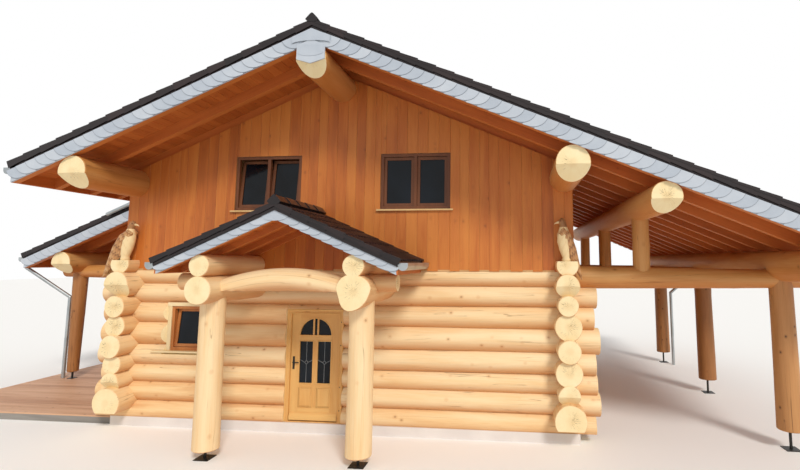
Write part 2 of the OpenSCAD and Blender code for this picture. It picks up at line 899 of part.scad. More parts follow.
// Boards on the main roofs' verges that carry the slates, and the six-sided boards
// before the ridge purlin's ends.
module verge_boards() {
    side_h = cap_w * slope;
    low_h = side_h * 0.72;
    color("lightsteelblue") {
        for (y = [verge_front - verge_t, verge_rear]) {
            left = y < 0 ? main_eave : outer_eave;
            roof_slab(-1, 0, left, y, y + verge_t, 0, tile_z0);
            roof_slab(1, 0, outer_eave, y, y + verge_t, 0, tile_z0);
        }
        for (y = [verge_front - 2 * verge_t, verge_rear + verge_t])
            y_prism([[0, cap_z], [cap_w, cap_z + low_h], [cap_w, ridge_z + verge_t - side_h],
                     [0, ridge_z + verge_t], [-cap_w, ridge_z + verge_t - side_h], [-cap_w, cap_z + low_h]],
                    y, y + verge_t);
        roof_slab(-1, main_eave + tile_out, outer_eave, terrace_verge - verge_t, terrace_verge, 0, tile_z0);
    }
}

module porch_verge() {
    color("lightsteelblue")
        for (s = [-1, 1])
            porch_slab(s, 0, porch_eave, porch_front, porch_front + verge_t, 0, porch_board_z);
}

// Boards across the rafter ends at the eaves.
module eave_boards() {
    lip = 10;
    color("chocolate") {
        roof_slab(-1, main_eave, main_eave + eave_t, verge_front, terrace_verge - verge_t - 1, lip, tile_z0);
        roof_slab(-1, outer_eave, outer_eave + eave_t, terrace_verge, verge_rear, lip, tile_z0);
        roof_slab(1, outer_eave, outer_eave + eave_t, verge_front, verge_rear, lip, tile_z0);
        for (s = [-1, 1])
            porch_slab(s, porch_eave, porch_eave + eave_t, porch_front, porch_back, lip, porch_board_z);
    }
}

module porch_slab(side, x0, x1, y0, y1, z0, z1) {
    drop0 = porch_z(porch_x + x0);
    drop1 = porch_z(porch_x + x1);
    translate([porch_x, 0, 0])
        y_prism([[side * x0, drop0 + z0], [side * x1, drop1 + z0],
                 [side * x1, drop1 + z1], [side * x0, drop0 + z1]], y0, y1);
}

// Lower porch log: the right one thickens to a butt end at the front.
module plate_log(side) {
    x = porch_post_x[side > 0 ? 1 : 0];
    translate([x, front_y, plate_z])
        rotate([90, 0, 0])
            cylinder(h = porch_out - plate_back, r1 = plate_r, r2 = side > 0 ? butt_r : plate_r);
}

module porch_posts() {
    color("navajowhite")
        for (s = [-1, 1])
            difference() {
                translate([porch_post_x[s > 0 ? 1 : 0], front_y - porch_post_y, porch_foot])
                    cylinder(h = plate_z - porch_foot, r = porch_post_r);
                plate_log(s);
            }
}

// Lower porch logs, scribed to the front wall.
module porch_plate_logs() {
    color("navajowhite")
        difference() {
            for (s = [-1, 1])
                plate_log(s);
            for (k = [5, 6, top_k])
                x_log(-big, big, front_y, cross_z(k), cross_r(k));
        }
}

module porch_top_logs() {
    color("navajowhite")
        difference() {
            for (x = porch_post_x)
                y_log(x, porch_front + plate_back, porch_back, top_log_z, top_log_r);
            for (s = [-1, 1])
                plate_log(s);
            x_log(-big, big, front_y, cross_z(top_k), log_r);
            above_porch(front_y - big, front_y);
        }
}

// Arched log between the lower porch logs, part of a ring with a flat underside,
// and the round ends that stand out past those logs.
module porch_arch_log() {
    half = porch_span / 2;
    ring_r = (half * half + arch_rise * arch_rise) / (2 * arch_rise);
    sweep = asin(half / ring_r);
    stub_z = arch_under + stub_r;
    stub_len = stub_out - plate_r / 2;
    color("navajowhite")
        difference() {
            union() {
                translate([porch_x, front_y - porch_post_y, arch_z + arch_rise - ring_r])
                    rotate([90, 0, 0])
                        rotate([0, 0, 90 - sweep])
                            rotate_extrude(angle = 2 * sweep, $fn = 360)
                                translate([ring_r, 0])
                                    circle(r = arch_r);
                for (s = [-1, 1])
                    translate([porch_x + s * (half + (plate_r / 2 + stub_out) / 2), 0, 0])
                        x_log(-stub_len / 2, stub_len / 2, front_y - porch_post_y, stub_z, stub_r);
            }
            block([porch_post_x[0], front_y - big, 0], [porch_post_x[1], front_y, arch_under]);
            for (s = [-1, 1])
                plate_log(s);
            for (x = porch_post_x)
                y_log(x, front_y - big, front_y, top_log_z, top_log_r);
        }
}

module porch_rafters() {
    pairs = 4;
    y0 = porch_front + verge_t;
    y1 = porch_back - porch_rafter_w;
    color("chocolate")
        for (i = [0:pairs - 1])
            for (s = [-1, 1])
                translate([0, y0 + (y1 - y0) * i / (pairs - 1), 0])
                    porch_slab(s, 0, porch_eave, 0, porch_rafter_w, 0, porch_rafter_h);
}

module porch_boards() {
    color("chocolate")
        for (s = [-1, 1])
            porch_slab(s, 0, porch_eave, porch_front + verge_t, porch_back, porch_rafter_h, porch_board_z);
}

module porch_tiles() {
    color("dimgray")
        for (s = [-1, 1])
            tile_field(s, [porch_x, porch_ridge_z + porch_board_z], porch_slope, 0, porch_eave + tile_out,
                       porch_eave + eave_t, porch_front - tile_out, porch_back, porch_tile_t);
}

// Door frame with a stop that laps over the leaf, and a threshold.
module door_frame() {
    color("goldenrod")
        difference() {
            block([door_x0, frame_front, plinth_h], [door_x1, frame_back, door_top]);
            block([door_x0 + jamb_w, frame_front - 1, threshold_z - door_lap / 2],
                  [door_x1 - jamb_w, frame_back + 1, door_top - jamb_w]);
            block([leaf_x0 - latch_gap, stop_back, threshold_z],
                  [leaf_x1 + door_gap, frame_back + 1, leaf_z1 + door_gap + 1]);
        }
}

// Middle of the left or the right light of the leaf, and of the panel below it.
function light_x(s) = door_x + s * (door_mullion + pane_w) / 2;

// The leaf's lights, each drawn in by a gap at its edges, from t0 to t1 in depth.
module door_lights(t0, t1, gap) {
    for (s = [-1, 1])
        block([light_x(s) - pane_w / 2 + gap, t0, pane_z0 + gap],
              [light_x(s) + pane_w / 2 - gap, t1, pane_z1 - gap]);
    intersection() {
        translate([door_x, t1, fan_z])
            rotate([90, 0, 0])
                cylinder(h = t1 - t0, r = fan_r - gap);
        block([door_x - 2 * fan_r, t0, fan_z + gap], [door_x + 2 * fan_r, t1, fan_z + 2 * fan_r]);
    }
}

// Door leaf with beads round its lights, two raised panels and a weather bar.
module door_leaf() {
    bead = 16;
    bead_t = 8;
    field = 28;
    bar_over = 12;
    bar_x0 = door_x0 + jamb_w + bar_over;
    bar_x1 = door_x1 - jamb_w - bar_over;
    bar_foot = leaf_z0 + 5;
    color("goldenrod") {
        difference() {
            union() {
                block([leaf_x0, leaf_y0, leaf_z0], [leaf_x1, leaf_y1, leaf_z1]);
                door_lights(leaf_y0 - bead_t, leaf_y0 + 1, -bead);
            }
            door_lights(leaf_y0 - bead_t - 1, leaf_y1 + 1, 0);
            for (s = [-1, 1])
                block([light_x(s) - pane_w / 2 - bead, leaf_y0 - 1, panel_z0],
                      [light_x(s) + pane_w / 2 + bead, leaf_y0 + bead_t, panel_z1]);
        }
        for (s = [-1, 1])
            block([light_x(s) - pane_w / 2 - bead + field, leaf_y0 - bead_t / 2, panel_z0 + field],
                  [light_x(s) + pane_w / 2 + bead - field, leaf_y0 + bead_t + 1, panel_z1 - field]);
        translate([bar_x0, 0, 0])
            rotate([90, 0, 90])
                linear_extrude(bar_x1 - bar_x0)
                    polygon([[leaf_y0 + 1, bar_z], [leaf_y0 - bead_t, bar_z],
                             [leaf_y0 - 3 * bead, bar_z - 3 * bead], [leaf_y0 - 3 * bead, bar_foot],
                             [leaf_y0 + 1, bar_foot]]);
    }
}

module door_glass() {
    color("darkslategray")
        door_lights((leaf_y0 + leaf_y1 - glass_t) / 2, (leaf_y0 + leaf_y1 + glass_t) / 2, seat);
}

// Handle on both faces of the leaf: plate, neck and lever.
module door_handle() {
    inset = 70;
    plate = [40, 6, 240];
    lever = [125, 14, 18];
    out = 50;
    color("dimgray")
        for (f = [0, 1])
            translate([leaf_x0 + inset, f == 0 ? leaf_y0 : leaf_y1, handle_z])
                mirror([0, f, 0]) {
                    translate([-plate[0] / 2, -plate[1], -plate[2] * 0.55])
                        cube(plate);
                    translate([0, -out, 0])
                        rotate([-90, 0, 0])
                            cylinder(h = out - plate[1] / 2, r = lever[2] / 2);
                    translate([-lever[2] / 2, -out, -lever[2] / 2])
                        cube(lever);
                }
}

// Hinge pins in the corner between the leaf's inner face and the frame.
module door_hinges() {
    inset = 220;
    pin_h = 90;
    color("dimgray")
        for (z = [leaf_z0 + inset, (leaf_z0 + leaf_z1 - pin_h) / 2, leaf_z1 - inset - pin_h])
            translate([hinge_x, hinge_y, z])
                cylinder(h = pin_h, r = hinge_r);
}

// Middle of pane i of a window that is w wide, from the window's middle.
function pane_x(i, w, panes) = (i + 0.5 - panes / 2) * (w - frame_bar) / panes;

// Window frame in a wall that faces -Y, with its outer face at y = 0.
module window_frame(w, z0, z1, panes) {
    half = ((w - frame_bar) / panes - frame_bar) / 2;
    difference() {
        block([-w / 2, 0, z0], [w / 2, frame_d, z1]);
        for (i = [0:panes - 1])
            block([pane_x(i, w, panes) - half, -1, z0 + frame_bar],
                  [pane_x(i, w, panes) + half, frame_d + 1, z1 - frame_bar]);
    }
}

// Sashes are lower than the frame's opening, so that they can stand tilted in it.
function sash_w(w, panes) = (w - frame_bar) / panes - frame_bar - 2 * seat;
function sash_h(z0, z1) = z1 - z0 - 2 * frame_bar - 2 * seat - sash_t / 8;

module sash_place(w, z0, panes, angle) {
    for (i = [0:panes - 1])
        translate([pane_x(i, w, panes), frame_d - sash_t, z0 + frame_bar + seat + sash_t * sin(angle)])
            rotate([-angle, 0, 0])
                children();
}

module window_sash(w, z0, z1, panes, angle) {
    sw = sash_w(w, panes);
    sh = sash_h(z0, z1);
    sash_place(w, z0, panes, angle)
        difference() {
            block([-sw / 2, 0, 0], [sw / 2, sash_t, sh]);
            block([-sw / 2 + sash_bar, -1, sash_bar], [sw / 2 - sash_bar, sash_t + 1, sh - sash_bar]);
        }
}

module window_pane(w, z0, z1, panes, angle) {
    sw = sash_w(w, panes);
    sh = sash_h(z0, z1);
    sash_place(w, z0, panes, angle)
        block([-sw / 2 + sash_bar + seat, (sash_t - glass_t) / 2, sash_bar + seat],
              [sw / 2 - sash_bar - seat, (sash_t + glass_t) / 2, sh - sash_bar - seat]);
}

// Sill on the wall's outer face, which lies the window's recess before its frame.
module window_sill(w, z0, out, recess) {
    over = 60;
    sill_t = 30;
    block([-w / 2 - over, -recess - out, z0 - sill_t], [w / 2 + over, -recess, z0]);
}

// Sets its child into the windows of the log walls: 0 at the front, 1 at the rear,
// 2 at the sides.
module at_log_windows(which) {
    turn = log_window_y - front_y;
    if (which == 0)
        translate([-log_window_x, log_window_y, 0])
            children();
    if (which == 1)
        for (s = [-1, 1])
            translate([s * log_window_x, rear_y - turn, 0])
                rotate([0, 0, 180])
                    children();
    if (which == 2)
        for (s = [-1, 1])
            for (t = [-1, 1])
                translate([s * (side_x - turn), mid_y + t * house_d / 4, 0])
                    rotate([0, 0, s * 90])
                        children();
}

// Sets its child into the gables' windows: 0 left and 1 right at the front, 2 at the rear.
module at_gable_windows(which) {
    if (which == 0)
        translate([-gable_window_x, gable_window_y, 0])
            children();
    if (which == 1)
        translate([gable_window_x, gable_window_y, 0])
            children();
    if (which == 2)
        for (s = [-1, 1])
            translate([s * gable_window_x, front_y + rear_y - gable_window_y, 0])
                rotate([0, 0, 180])
                    children();
}

module window_frames() {
    color("saddlebrown") {
        for (i = [0:2])
            at_log_windows(i)
                window_frame(log_window_w, log_window_z0, log_window_z1, 1);
        for (i = [0:2])
            at_gable_windows(i)
                window_frame(gable_window_w, gable_window_z0, gable_window_z1, 2);
    }
}

module window_sashes() {
    color("saddlebrown") {
        for (i = [0:2])
            at_log_windows(i)
                window_sash(log_window_w, log_window_z0, log_window_z1, 1, i == 0 ? tilt : 0);
        for (i = [0:2])
            at_gable_windows(i)
                window_sash(gable_window_w, gable_window_z0, gable_window_z1, 2, i == 0 ? tilt : 0);
    }
}

module window_glass() {
    color("darkslategray") {
        for (i = [0:2])
            at_log_windows(i)
                window_pane(log_window_w, log_window_z0, log_window_z1, 1, i == 0 ? tilt : 0);
        for (i = [0:2])
            at_gable_windows(i)
                window_pane(gable_window_w, gable_window_z0, gable_window_z1, 2, i == 0 ? tilt : 0);
    }
}

module window_sills() {
    log_sill = 40;
    gable_sill = 60;
    color("wheat") {
        for (i = [0:2])
            at_log_windows(i)
                window_sill(log_window_w, log_window_z0, log_sill, log_recess);
        for (i = [0:2])
            at_gable_windows(i)
                window_sill(gable_window_w, gable_window_z0, gable_sill, gable_recess);
    }
}

// Outline of a carved bird's folded wing, seen from its side with the head to +X.
function wing(spread) = [[50, 0.68 * bird_h], [-30, 0.78 * bird_h], [-200 * spread, 0.6 * bird_h],
                         [-340 * spread, 0.25 * bird_h], [-430 * spread, -0.42 * bird_h],
                         [-330 * spread, -0.36 * bird_h], [-240 * spread, -0.02 * bird_h], [20, 0.2 * bird_h]];

// Radius of a bird's body at a share of its height.
function body_r(share) = bird_r * (0.56 + 0.44 * sin(200 * share - 10));

// Bird that stands on a log end: body, head, beak, two wings and a tail.
module carved_bird(spread) {
    steps = 8;
    foot_h = 50;
    head_r = 0.09 * bird_h;
    body_h = bird_h - head_r - foot_h;
    wing_t = 45;
    cylinder(h = foot_h + 10, r = 0.8 * bird_r);
    translate([0, 0, foot_h])
        rotate_extrude()
            polygon(concat([[0, 0]], [for (i = [0:steps]) [body_r(i / steps), body_h * i / steps]],
                           [[0, body_h]]));
    translate([head_r / 4, 0, bird_h - head_r]) {
        sphere(r = head_r);
        rotate([0, 100, 0])
            cylinder(h = 2.1 * head_r, r1 = head_r * 0.55, r2 = 4);
    }
    for (s = [-1, 1])
        translate([0, s * (bird_r - wing_t / 2) + wing_t / 2, 0])
            rotate([90, 0, 0])
                linear_extrude(wing_t)
                    polygon(wing(spread));
    translate([0, bird_r / 2, 0])
        rotate([90, 0, 0])
            linear_extrude(bird_r)
                polygon([[0, 0.5 * bird_h], [-250 * spread, 0.3 * bird_h], [-390 * spread, -0.3 * bird_h],
                         [-300 * spread, -0.3 * bird_h], [-200 * spread, 0], [0, 0.1 * bird_h]]);
}

// Carved birds on the top log ends of the two front corners, scribed to the logs.
module corner_birds() {
    perch_y = front_y - (gable_out + log_end) / 2;
    color("wheat")
        for (s = [-1, 1])
            difference() {
                translate([s * side_x, perch_y, perch_z])
                    mirror([s > 0 ? 1 : 0, 0, 0])
                        carved_bird(s > 0 ? 0.65 : 1);
                difference() {
                    y_log(s * side_x, front_y - big, front_y, side_z(s, top_k), side_r(s, top_k) + seat);
                    block([-big, -big, perch_z], [big, big, big]);
                }
                y_log(s * side_x, front_y - big, front_y, side_z(s, top_k - 1), side_r(s, top_k - 1) + seat);
            }
}

module terrace_deck() {
    color("rosybrown")
        block([deck_x0, front_y - deck_over, deck_h - deck_t], [deck_x1, rear_y + deck_over, deck_h]);
}

// Joists under the deck, between boards across their ends.
module deck_frame() {
    joists = 8;
    w = 70;
    y0 = front_y - deck_over;
    y1 = rear_y + deck_over;
    color("gray") {
        for (i = [0:joists - 1])
            translate([deck_x0 + (deck_x1 - deck_x0 - w) * i / (joists - 1), 0, 0])
                block([0, y0, 0], [w, y1, deck_h - deck_t]);
        for (y = [y0, y1 - w])
            block([deck_x0, y, 0], [deck_x1, y + w, deck_h - deck_t]);
    }
}

// Outer shape of a gutter along Y: half round, with upright sides up to z.
module gutter_round(x, z, y0, y1, r) {
    y_log(x, y0, y1, z - gutter_wall_h, r);
    block([x - r, y0, z - gutter_wall_h], [x + r, y1, z + r]);
}

// Gutter with its rim at z, hung against the eave board.
module gutter(x, z, y0, y1) {
    difference() {
        gutter_round(x, z, y0, y1, gutter_r);
        gutter_round(x, z, y0 + gutter_t, y1 - gutter_t, gutter_r - gutter_t);
        block([x - gutter_r - 1, y0 - 1, z], [x + gutter_r + 1, y1 + 1, z + 2 * gutter_r]);
    }
}

function gutter_x(eave) = eave + eave_t + gutter_r + seat;
function gutter_z(eave) = roof_z(eave + tile_out) + tile_z0 + tile_t - tile_lip - gutter_drop;

module gutters() {
    front = verge_front - gutter_over;
    middle = terrace_verge - gutter_over;
    rear = verge_rear + gutter_over;
    porch_lip_z = porch_z(porch_x + porch_eave + tile_out) + porch_board_z + porch_tile_t - tile_lip;
    color("silver") {
        gutter(-gutter_x(main_eave), gutter_z(main_eave), front, middle - tile_out);
        gutter(-gutter_x(outer_eave), gutter_z(outer_eave), middle, rear);
        gutter(gutter_x(outer_eave), gutter_z(outer_eave), front, rear);
        for (s = [-1, 1])
            gutter(porch_x + s * gutter_x(porch_eave), porch_lip_z - gutter_gap, porch_front - gutter_over,
                   porch_back - 3 * gutter_over);
    }
}

// Pipe through a list of points, with round joints between its lengths.
module pipe(points, r) {
    for (i = [1:len(points) - 1]) {
        d = points[i] - points[i - 1];
        translate(points[i - 1])
            rotate([0, acos(d[2] / norm(d)), atan2(d[1], d[0])])
                cylinder(h = norm(d), r = r);
        if (i < len(points) - 1)
            translate(points[i])
                sphere(r = r + 2);
    }
}

// Downpipes of the two outer gutters, led in below the tie logs to the posts, and
// the pipe from the left main gutter that runs down before the edge of the lower roof.
module downpipes() {
    gx = gutter_x(outer_eave);
    gz = gutter_z(outer_eave) - gutter_wall_h - gutter_r - seat;
    drop = 150;
    clear_x = max(gx, post_x + eave_purlin_r + 2.5 * pipe_r);
    elbow_z = cross_z(top_k) - tie_r - pipe_r - elbow_drop;
    left_x = -post_x - deck_post_r - 2 * pipe_r;
    left_y = front_y + deck_post_y;
    top_y = terrace_verge + drop;
    right_x = post_x + pipe_beside;
    right_y = rear_y - pipe_before;
    main_x = -gutter_x(main_eave);
    main_z = gutter_z(main_eave) - gutter_wall_h - pipe_r / 2;
    lower_y = terrace_verge - tile_out - gutter_over - pipe_r;
    level = 250;
    run = 1250;
    color("silver") {
        pipe([[-gx, top_y, gz], [-clear_x, top_y, gz - drop], [left_x, left_y, elbow_z],
              [left_x, left_y, deck_h]], pipe_r);
        pipe([[gx, right_y, gz], [clear_x, right_y, gz - drop], [right_x, right_y, elbow_z],
              [right_x, right_y, 0]], pipe_r);
        difference() {
            pipe([[main_x, lower_y, main_z], [main_x - level, lower_y, main_z],
                  [main_x - run, lower_y, main_z - (run - level) * slope]], pipe_r);
            gutter_round(main_x, gutter_z(main_eave), lower_y - 2 * pipe_r, lower_y + 2 * pipe_r,
                         gutter_r + seat);
        }
    }
}

plinth();
ground_floor();
front_wall_left();
front_wall_right();
front_wall_over_door();
front_top_log();
left_wall();
right_wall();
rear_wall();
rear_top_log();
upper_floor();
front_gable();
rear_gable();
left_knee_wall();
right_knee_wall();
ridge_purlin();
wall_purlins();
mid_purlins();
eave_purlins();
tie_logs();
king_posts();
carport_posts();
deck_posts();
post_shoes();
rafters_left();
rafters_right();
roof_boards_left();
roof_boards_right();
terrace_roof_boards();
roof_tiles_left();
roof_tiles_right();
terrace_roof_tiles();
ridge_tiles();
verge_boards();
eave_boards();
porch_posts();
porch_plate_logs();
porch_top_logs();
porch_arch_log();
porch_rafters();
porch_boards();
porch_tiles();
porch_verge();
door_frame();
door_leaf();
door_glass();
door_handle();
door_hinges();
window_frames();
window_sashes();
window_glass();
window_sills();
corner_birds();
terrace_deck();
deck_frame();
gutters();
downpipes();
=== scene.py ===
import math

import bpy
import numpy as np
from mathutils import Matrix, Vector


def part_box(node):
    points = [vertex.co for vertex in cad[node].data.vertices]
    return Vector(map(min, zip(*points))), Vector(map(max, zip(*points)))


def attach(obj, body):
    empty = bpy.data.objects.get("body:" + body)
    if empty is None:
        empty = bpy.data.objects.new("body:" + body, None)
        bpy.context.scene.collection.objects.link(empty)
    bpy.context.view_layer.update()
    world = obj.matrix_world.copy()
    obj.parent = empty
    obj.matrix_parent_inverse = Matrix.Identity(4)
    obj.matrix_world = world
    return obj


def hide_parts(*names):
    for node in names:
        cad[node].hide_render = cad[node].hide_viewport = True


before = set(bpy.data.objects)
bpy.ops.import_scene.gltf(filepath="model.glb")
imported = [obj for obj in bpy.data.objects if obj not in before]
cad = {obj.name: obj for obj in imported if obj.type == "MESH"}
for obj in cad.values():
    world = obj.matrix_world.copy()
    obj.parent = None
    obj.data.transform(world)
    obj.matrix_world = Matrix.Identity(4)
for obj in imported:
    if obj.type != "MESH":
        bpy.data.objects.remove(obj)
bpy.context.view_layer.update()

# The chalet's own sizes in metres, as the solids have them.
house = {
    "halfWidth": 4.38, "frontY": -3.57, "rearY": 3.88, "plinthTop": 0.173, "sideBase": 0.33,
    "course": 0.36, "steps": [0.806, 1.017, 0.942, 1.094, 1.186, 1.1, 1.047, 0.939],
    "leftSteps": [1.125, 0.875, 0.917, 1.083, 1.056, 1.042, 1.29, 0.972],
    "rightSteps": [1.07, 0.94, 1.186, 1.01, 1.22, 0.89, 1.072, 0.972],
    "logRadius": 0.208, "baseRadius": 0.28, "scribe": 0.022,
    "logEnd": 0.545, "endVary": 0.05, "endAngle": 50, "planeIn": 0.075, "gableOut": 0.2,
    "slope": 0.43, "ridgeZ": 6.99, "mainEave": 5.51, "outerEave": 9.19,
    "vergeFront": -5.31, "vergeRear": 5.62, "rafterHeight": 0.2, "rafterWidth": 0.12,
    "boarding": 0.028, "tileLayer": 0.18, "tileLip": 0.06, "tileOut": 0.07, "vergeBoard": 0.035, "eaveBoard": 0.025,
    "postX": 8.208, "kingX": 5.79, "tieX": 8.608, "deckPostY": -0.97,
}
frontY, rearY, halfWidth, plinthTop, scribe, gableOut = (
    house[key] for key in ("frontY", "rearY", "halfWidth", "plinthTop", "scribe", "gableOut"))
ridgeZ, mainEave, outerEave, vergeFront, vergeRear = (
    house[key] for key in ("ridgeZ", "mainEave", "outerEave", "vergeFront", "vergeRear"))
boarding, tileOut, postX, kingX, tieX = (house[key] for key in ("boarding", "tileOut", "postX", "kingX", "tieX"))
midY = (frontY + rearY) / 2
topCourse = len(house["steps"]) - 1
slant = math.sqrt(1 + house["slope"] ** 2)
tileZ = house["rafterHeight"] + boarding
wallRafter = frontY - 0.07
rafterY = ([-5.25, -4.445] + [wallRafter + i * (rearY + 0.07 - wallRafter) / 11 for i in range(12)]
           + [4.755, 5.56])
terraceVerge = rafterY[5] - house["rafterWidth"] / 2


def jointZ(k):
    return plinthTop + house["course"] * sum(house["steps"][:k])


def crossRadius(k):
    if k in (0, topCourse):
        return house["logRadius"]
    return house["course"] * house["steps"][k] / 2 + scribe


def crossZ(k):
    if k == 0:
        return jointZ(1) - house["logRadius"] + scribe
    if k == topCourse:
        return jointZ(k) + house["logRadius"] - scribe
    return (jointZ(k) + jointZ(k + 1)) / 2


def sideJoint(side, k):
    steps = house["rightSteps"] if side > 0 else house["leftSteps"]
    return house["sideBase"] + house["course"] * sum(steps[:k])


def sideRadius(side, k):
    if k == 0:
        return house["baseRadius"]
    return (sideJoint(side, k + 1) - sideJoint(side, k)) / 2 + scribe


def sideZ(side, k):
    if k == 0:
        return sideJoint(side, 1) + 2.5 * scribe - house["baseRadius"]
    return (sideJoint(side, k) + sideJoint(side, k + 1)) / 2


def endOut(k):
    return house["logEnd"] + house["endVary"] * math.sin(math.radians(k * 137))


def roofZ(x):
    return ridgeZ - house["slope"] * abs(x)


def purlinZ(x, radius):
    return roofZ(x) - (radius - 0.018) * slant


# ---- shader helpers
def linear(code, share=1.0):
    parts = [int(code[i:i + 2], 16) / 255 for i in (1, 3, 5)]
    return tuple(share * (c / 12.92 if c <= 0.04045 else ((c + 0.055) / 1.055) ** 2.4) for c in parts) + (1.0,)


class Wire:
    # A socket in a node tree; maths on it adds nodes.
    def __init__(self, tree, socket):
        self.tree = tree
        self.socket = socket

    def maths(self, operation, *values):
        return addNode(self.tree, "ShaderNodeMath", {"operation": operation}, dict(enumerate((self,) + values)))

    def calc(self, operation, first, second):
        return addNode(self.tree, "ShaderNodeMath", {"operation": operation}, {0: first, 1: second})

    def __add__(self, other):
        return self.calc("ADD", self, other)

    def __radd__(self, other):
        return self.calc("ADD", other, self)

    def __sub__(self, other):
        return self.calc("SUBTRACT", self, other)

    def __rsub__(self, other):
        return self.calc("SUBTRACT", other, self)

    def __mul__(self, other):
        return self.calc("MULTIPLY", self, other)

    def __rmul__(self, other):
        return self.calc("MULTIPLY", other, self)

    def __truediv__(self, other):
        return self.calc("DIVIDE", self, other)

    def __rtruediv__(self, other):
        return self.calc("DIVIDE", other, self)

    def between(self, low, high):
        # 0 below low, 1 above high, smooth in between
        return addNode(self.tree, "ShaderNodeMapRange", {"interpolation_type": "SMOOTHSTEP", "clamp": True},
                       {0: self, 1: low, 2: high, 3: 0.0, 4: 1.0})


def addNode(tree, kind, settings=None, inputs=None, output=0):
    node = tree.nodes.new(kind)
    for name, value in (settings or {}).items():
        if name == "stops":
            ramp = node.color_ramp
            while len(ramp.elements) < len(value):
                ramp.elements.new(1.0)
            for element, (place, colour) in zip(ramp.elements, value):
                element.position = place
                element.color = colour
        else:
            setattr(node, name, value)
    for key, value in (inputs or {}).items():
        socket = node.inputs[key]
        if isinstance(value, Wire):
            tree.links.new(value.socket, socket)
        else:
            socket.default_value = value
    return Wire(tree, node.outputs[output])


class Finish:
    # A material with its Principled shader, and short ways to the nodes used here.
    def __init__(self, name, roughness=0.6, **constants):
        self.material = bpy.data.materials.new(name)
        self.material.use_nodes = True
        self.tree = self.material.node_tree
        self.shader = next(n for n in self.tree.nodes if n.type == "BSDF_PRINCIPLED")
        self.shader.inputs["Roughness"].default_value = roughness
        for key, value in constants.items():
            self.shader.inputs[key.replace("_", " ")].default_value = value

    def node(self, kind, settings=None, inputs=None, output=0):
        return addNode(self.tree, kind, settings, inputs, output)

    def attribute(self, name, output=1):
        return self.node("ShaderNodeAttribute", {"attribute_name": name}, {}, output)

    def places(self):
        return self.node("ShaderNodeTexCoord", {}, {}, 3)

    def scaled(self, vector, size, turn=(0, 0, 0), shift=(0, 0, 0)):
        return self.node("ShaderNodeMapping", {}, {0: vector, 1: shift, 2: turn, 3: size})

    def noise(self, vector, scale=1.0, detail=3.0, rough=0.5, warp=0.0):
        return self.node("ShaderNodeTexNoise", {}, {"Vector": vector, "Scale": scale, "Detail": detail,
                                                    "Roughness": rough, "Distortion": warp})

    def mix(self, amount, first, second):
        return self.node("ShaderNodeMix", {"data_type": "RGBA"}, {0: amount, 6: first, 7: second}, 2)

    def ramp(self, amount, stops):
        return self.node("ShaderNodeValToRGB", {"stops": stops}, {0: amount})

    def bump(self, height, strength, distance):
        return self.node("ShaderNodeBump", {}, {"Height": height, "Strength": strength, "Distance": distance})

    def paint(self, **links):
        for key, wire in links.items():
            self.tree.links.new(wire.socket, self.shader.inputs[key.replace("_", " ")])
        return self.material


def woodStops(tones):
    return [(i / 2, linear(code)) for i, code in enumerate(tones.split()[:3])]


def woodFinish(name, tones, turn=None, toneShare=0.5, knots=4.0, checks=0.5, roughness=0.55, ownTone=False,
               eyes=0.5, under=None, above=None):
    # Wood from its pale, mid, dark and knot tones. The fibres run along the first grain coordinate, which is read
    # from the grain attribute, or from the object's own coordinates where a turn is given.
    # under is painted light by facing: the colour, share and range of downward-facing faces (painted shade under the
    # logs, painted bounce light under the rafters); above are the darker tones of the upper storey, a painted shade.
    dark, knot = tones.split()[2:]
    finish = Finish(name, roughness)
    if turn is None:
        grain = finish.attribute("grain")
    else:
        grain = finish.scaled(finish.places(), (1, 1, 1), turn)
    if turn is None or ownTone:
        tone = finish.attribute("tone", 2)
    else:
        tone = finish.noise(finish.scaled(grain, (0.05, 3.1, 3.1)), 1.0, 0.0)
    wide = finish.noise(finish.scaled(grain, (0.55, 5.0, 5.0)), 1.0, 3.0, 0.55, 0.4)
    fine = finish.noise(finish.scaled(grain, (2.2, 90.0, 90.0)), 1.0, 4.0, 0.6, 0.2)
    level = (wide * 0.62 + fine * 0.28 + tone * toneShare - 0.12 - 0.5 * (toneShare - 0.2)).between(0.12, 0.88)
    colour = finish.ramp(level, woodStops(tones))
    # Painted shade: above about 3 m the wood turns to the darker upper-storey tones.
    if above:
        other = finish.ramp(level, woodStops(above))
        height = finish.node("ShaderNodeSeparateXYZ", {}, {0: finish.places()}, 2)
        colour = finish.mix(height.between(2.9, 3.1), colour, other)
    cells = finish.node("ShaderNodeTexVoronoi", {"feature": "F1"},
                        {"Vector": finish.scaled(grain, (1.0, 1.25, 1.25)), "Scale": knots, "Randomness": 1.0})
    eye = 1.0 - cells.between(0.045, 0.095)
    ring = 1.0 - cells.between(0.09, 0.2)
    colour = finish.mix(ring * (eyes * 0.5), colour, linear(dark))
    colour = finish.mix(eye * eyes, colour, linear(knot))
    line = finish.noise(finish.scaled(grain, (0.34, 11.0, 11.0)), 1.0, 1.5, 0.45)
    gap = (line - 0.5).maths("ABSOLUTE")
    where = finish.noise(finish.scaled(grain, (0.7, 2.2, 2.2), (0, 0, 0), (3.0, 7.0, 1.0)), 1.0, 1.0)
    crack = (1.0 - gap.between(0.0015, 0.007)) * where.between(0.47, 0.56) * checks
    colour = finish.mix(crack * 0.8, colour, linear(knot, 0.6))
    # Painted light by facing: faces turned down take the under colour (painted shade on logs, painted bounce light on
    # rafters).
    if under:
        normal = finish.node("ShaderNodeNewGeometry", {}, {}, 1)
        down = finish.node("ShaderNodeSeparateXYZ", {}, {0: normal}, 2) * -1.0
        colour = finish.mix(down.between(under[2], under[3]) * under[1], colour, linear(under[0]))
    height = fine * 0.35 + wide * 0.5 - crack * 2.2 - eye * 0.5
    return finish.paint(Base_Color=colour, Roughness=roughness + (fine - 0.5) * 0.25 + crack * 0.2,
                        Normal=finish.bump(height, 0.5, 0.006))


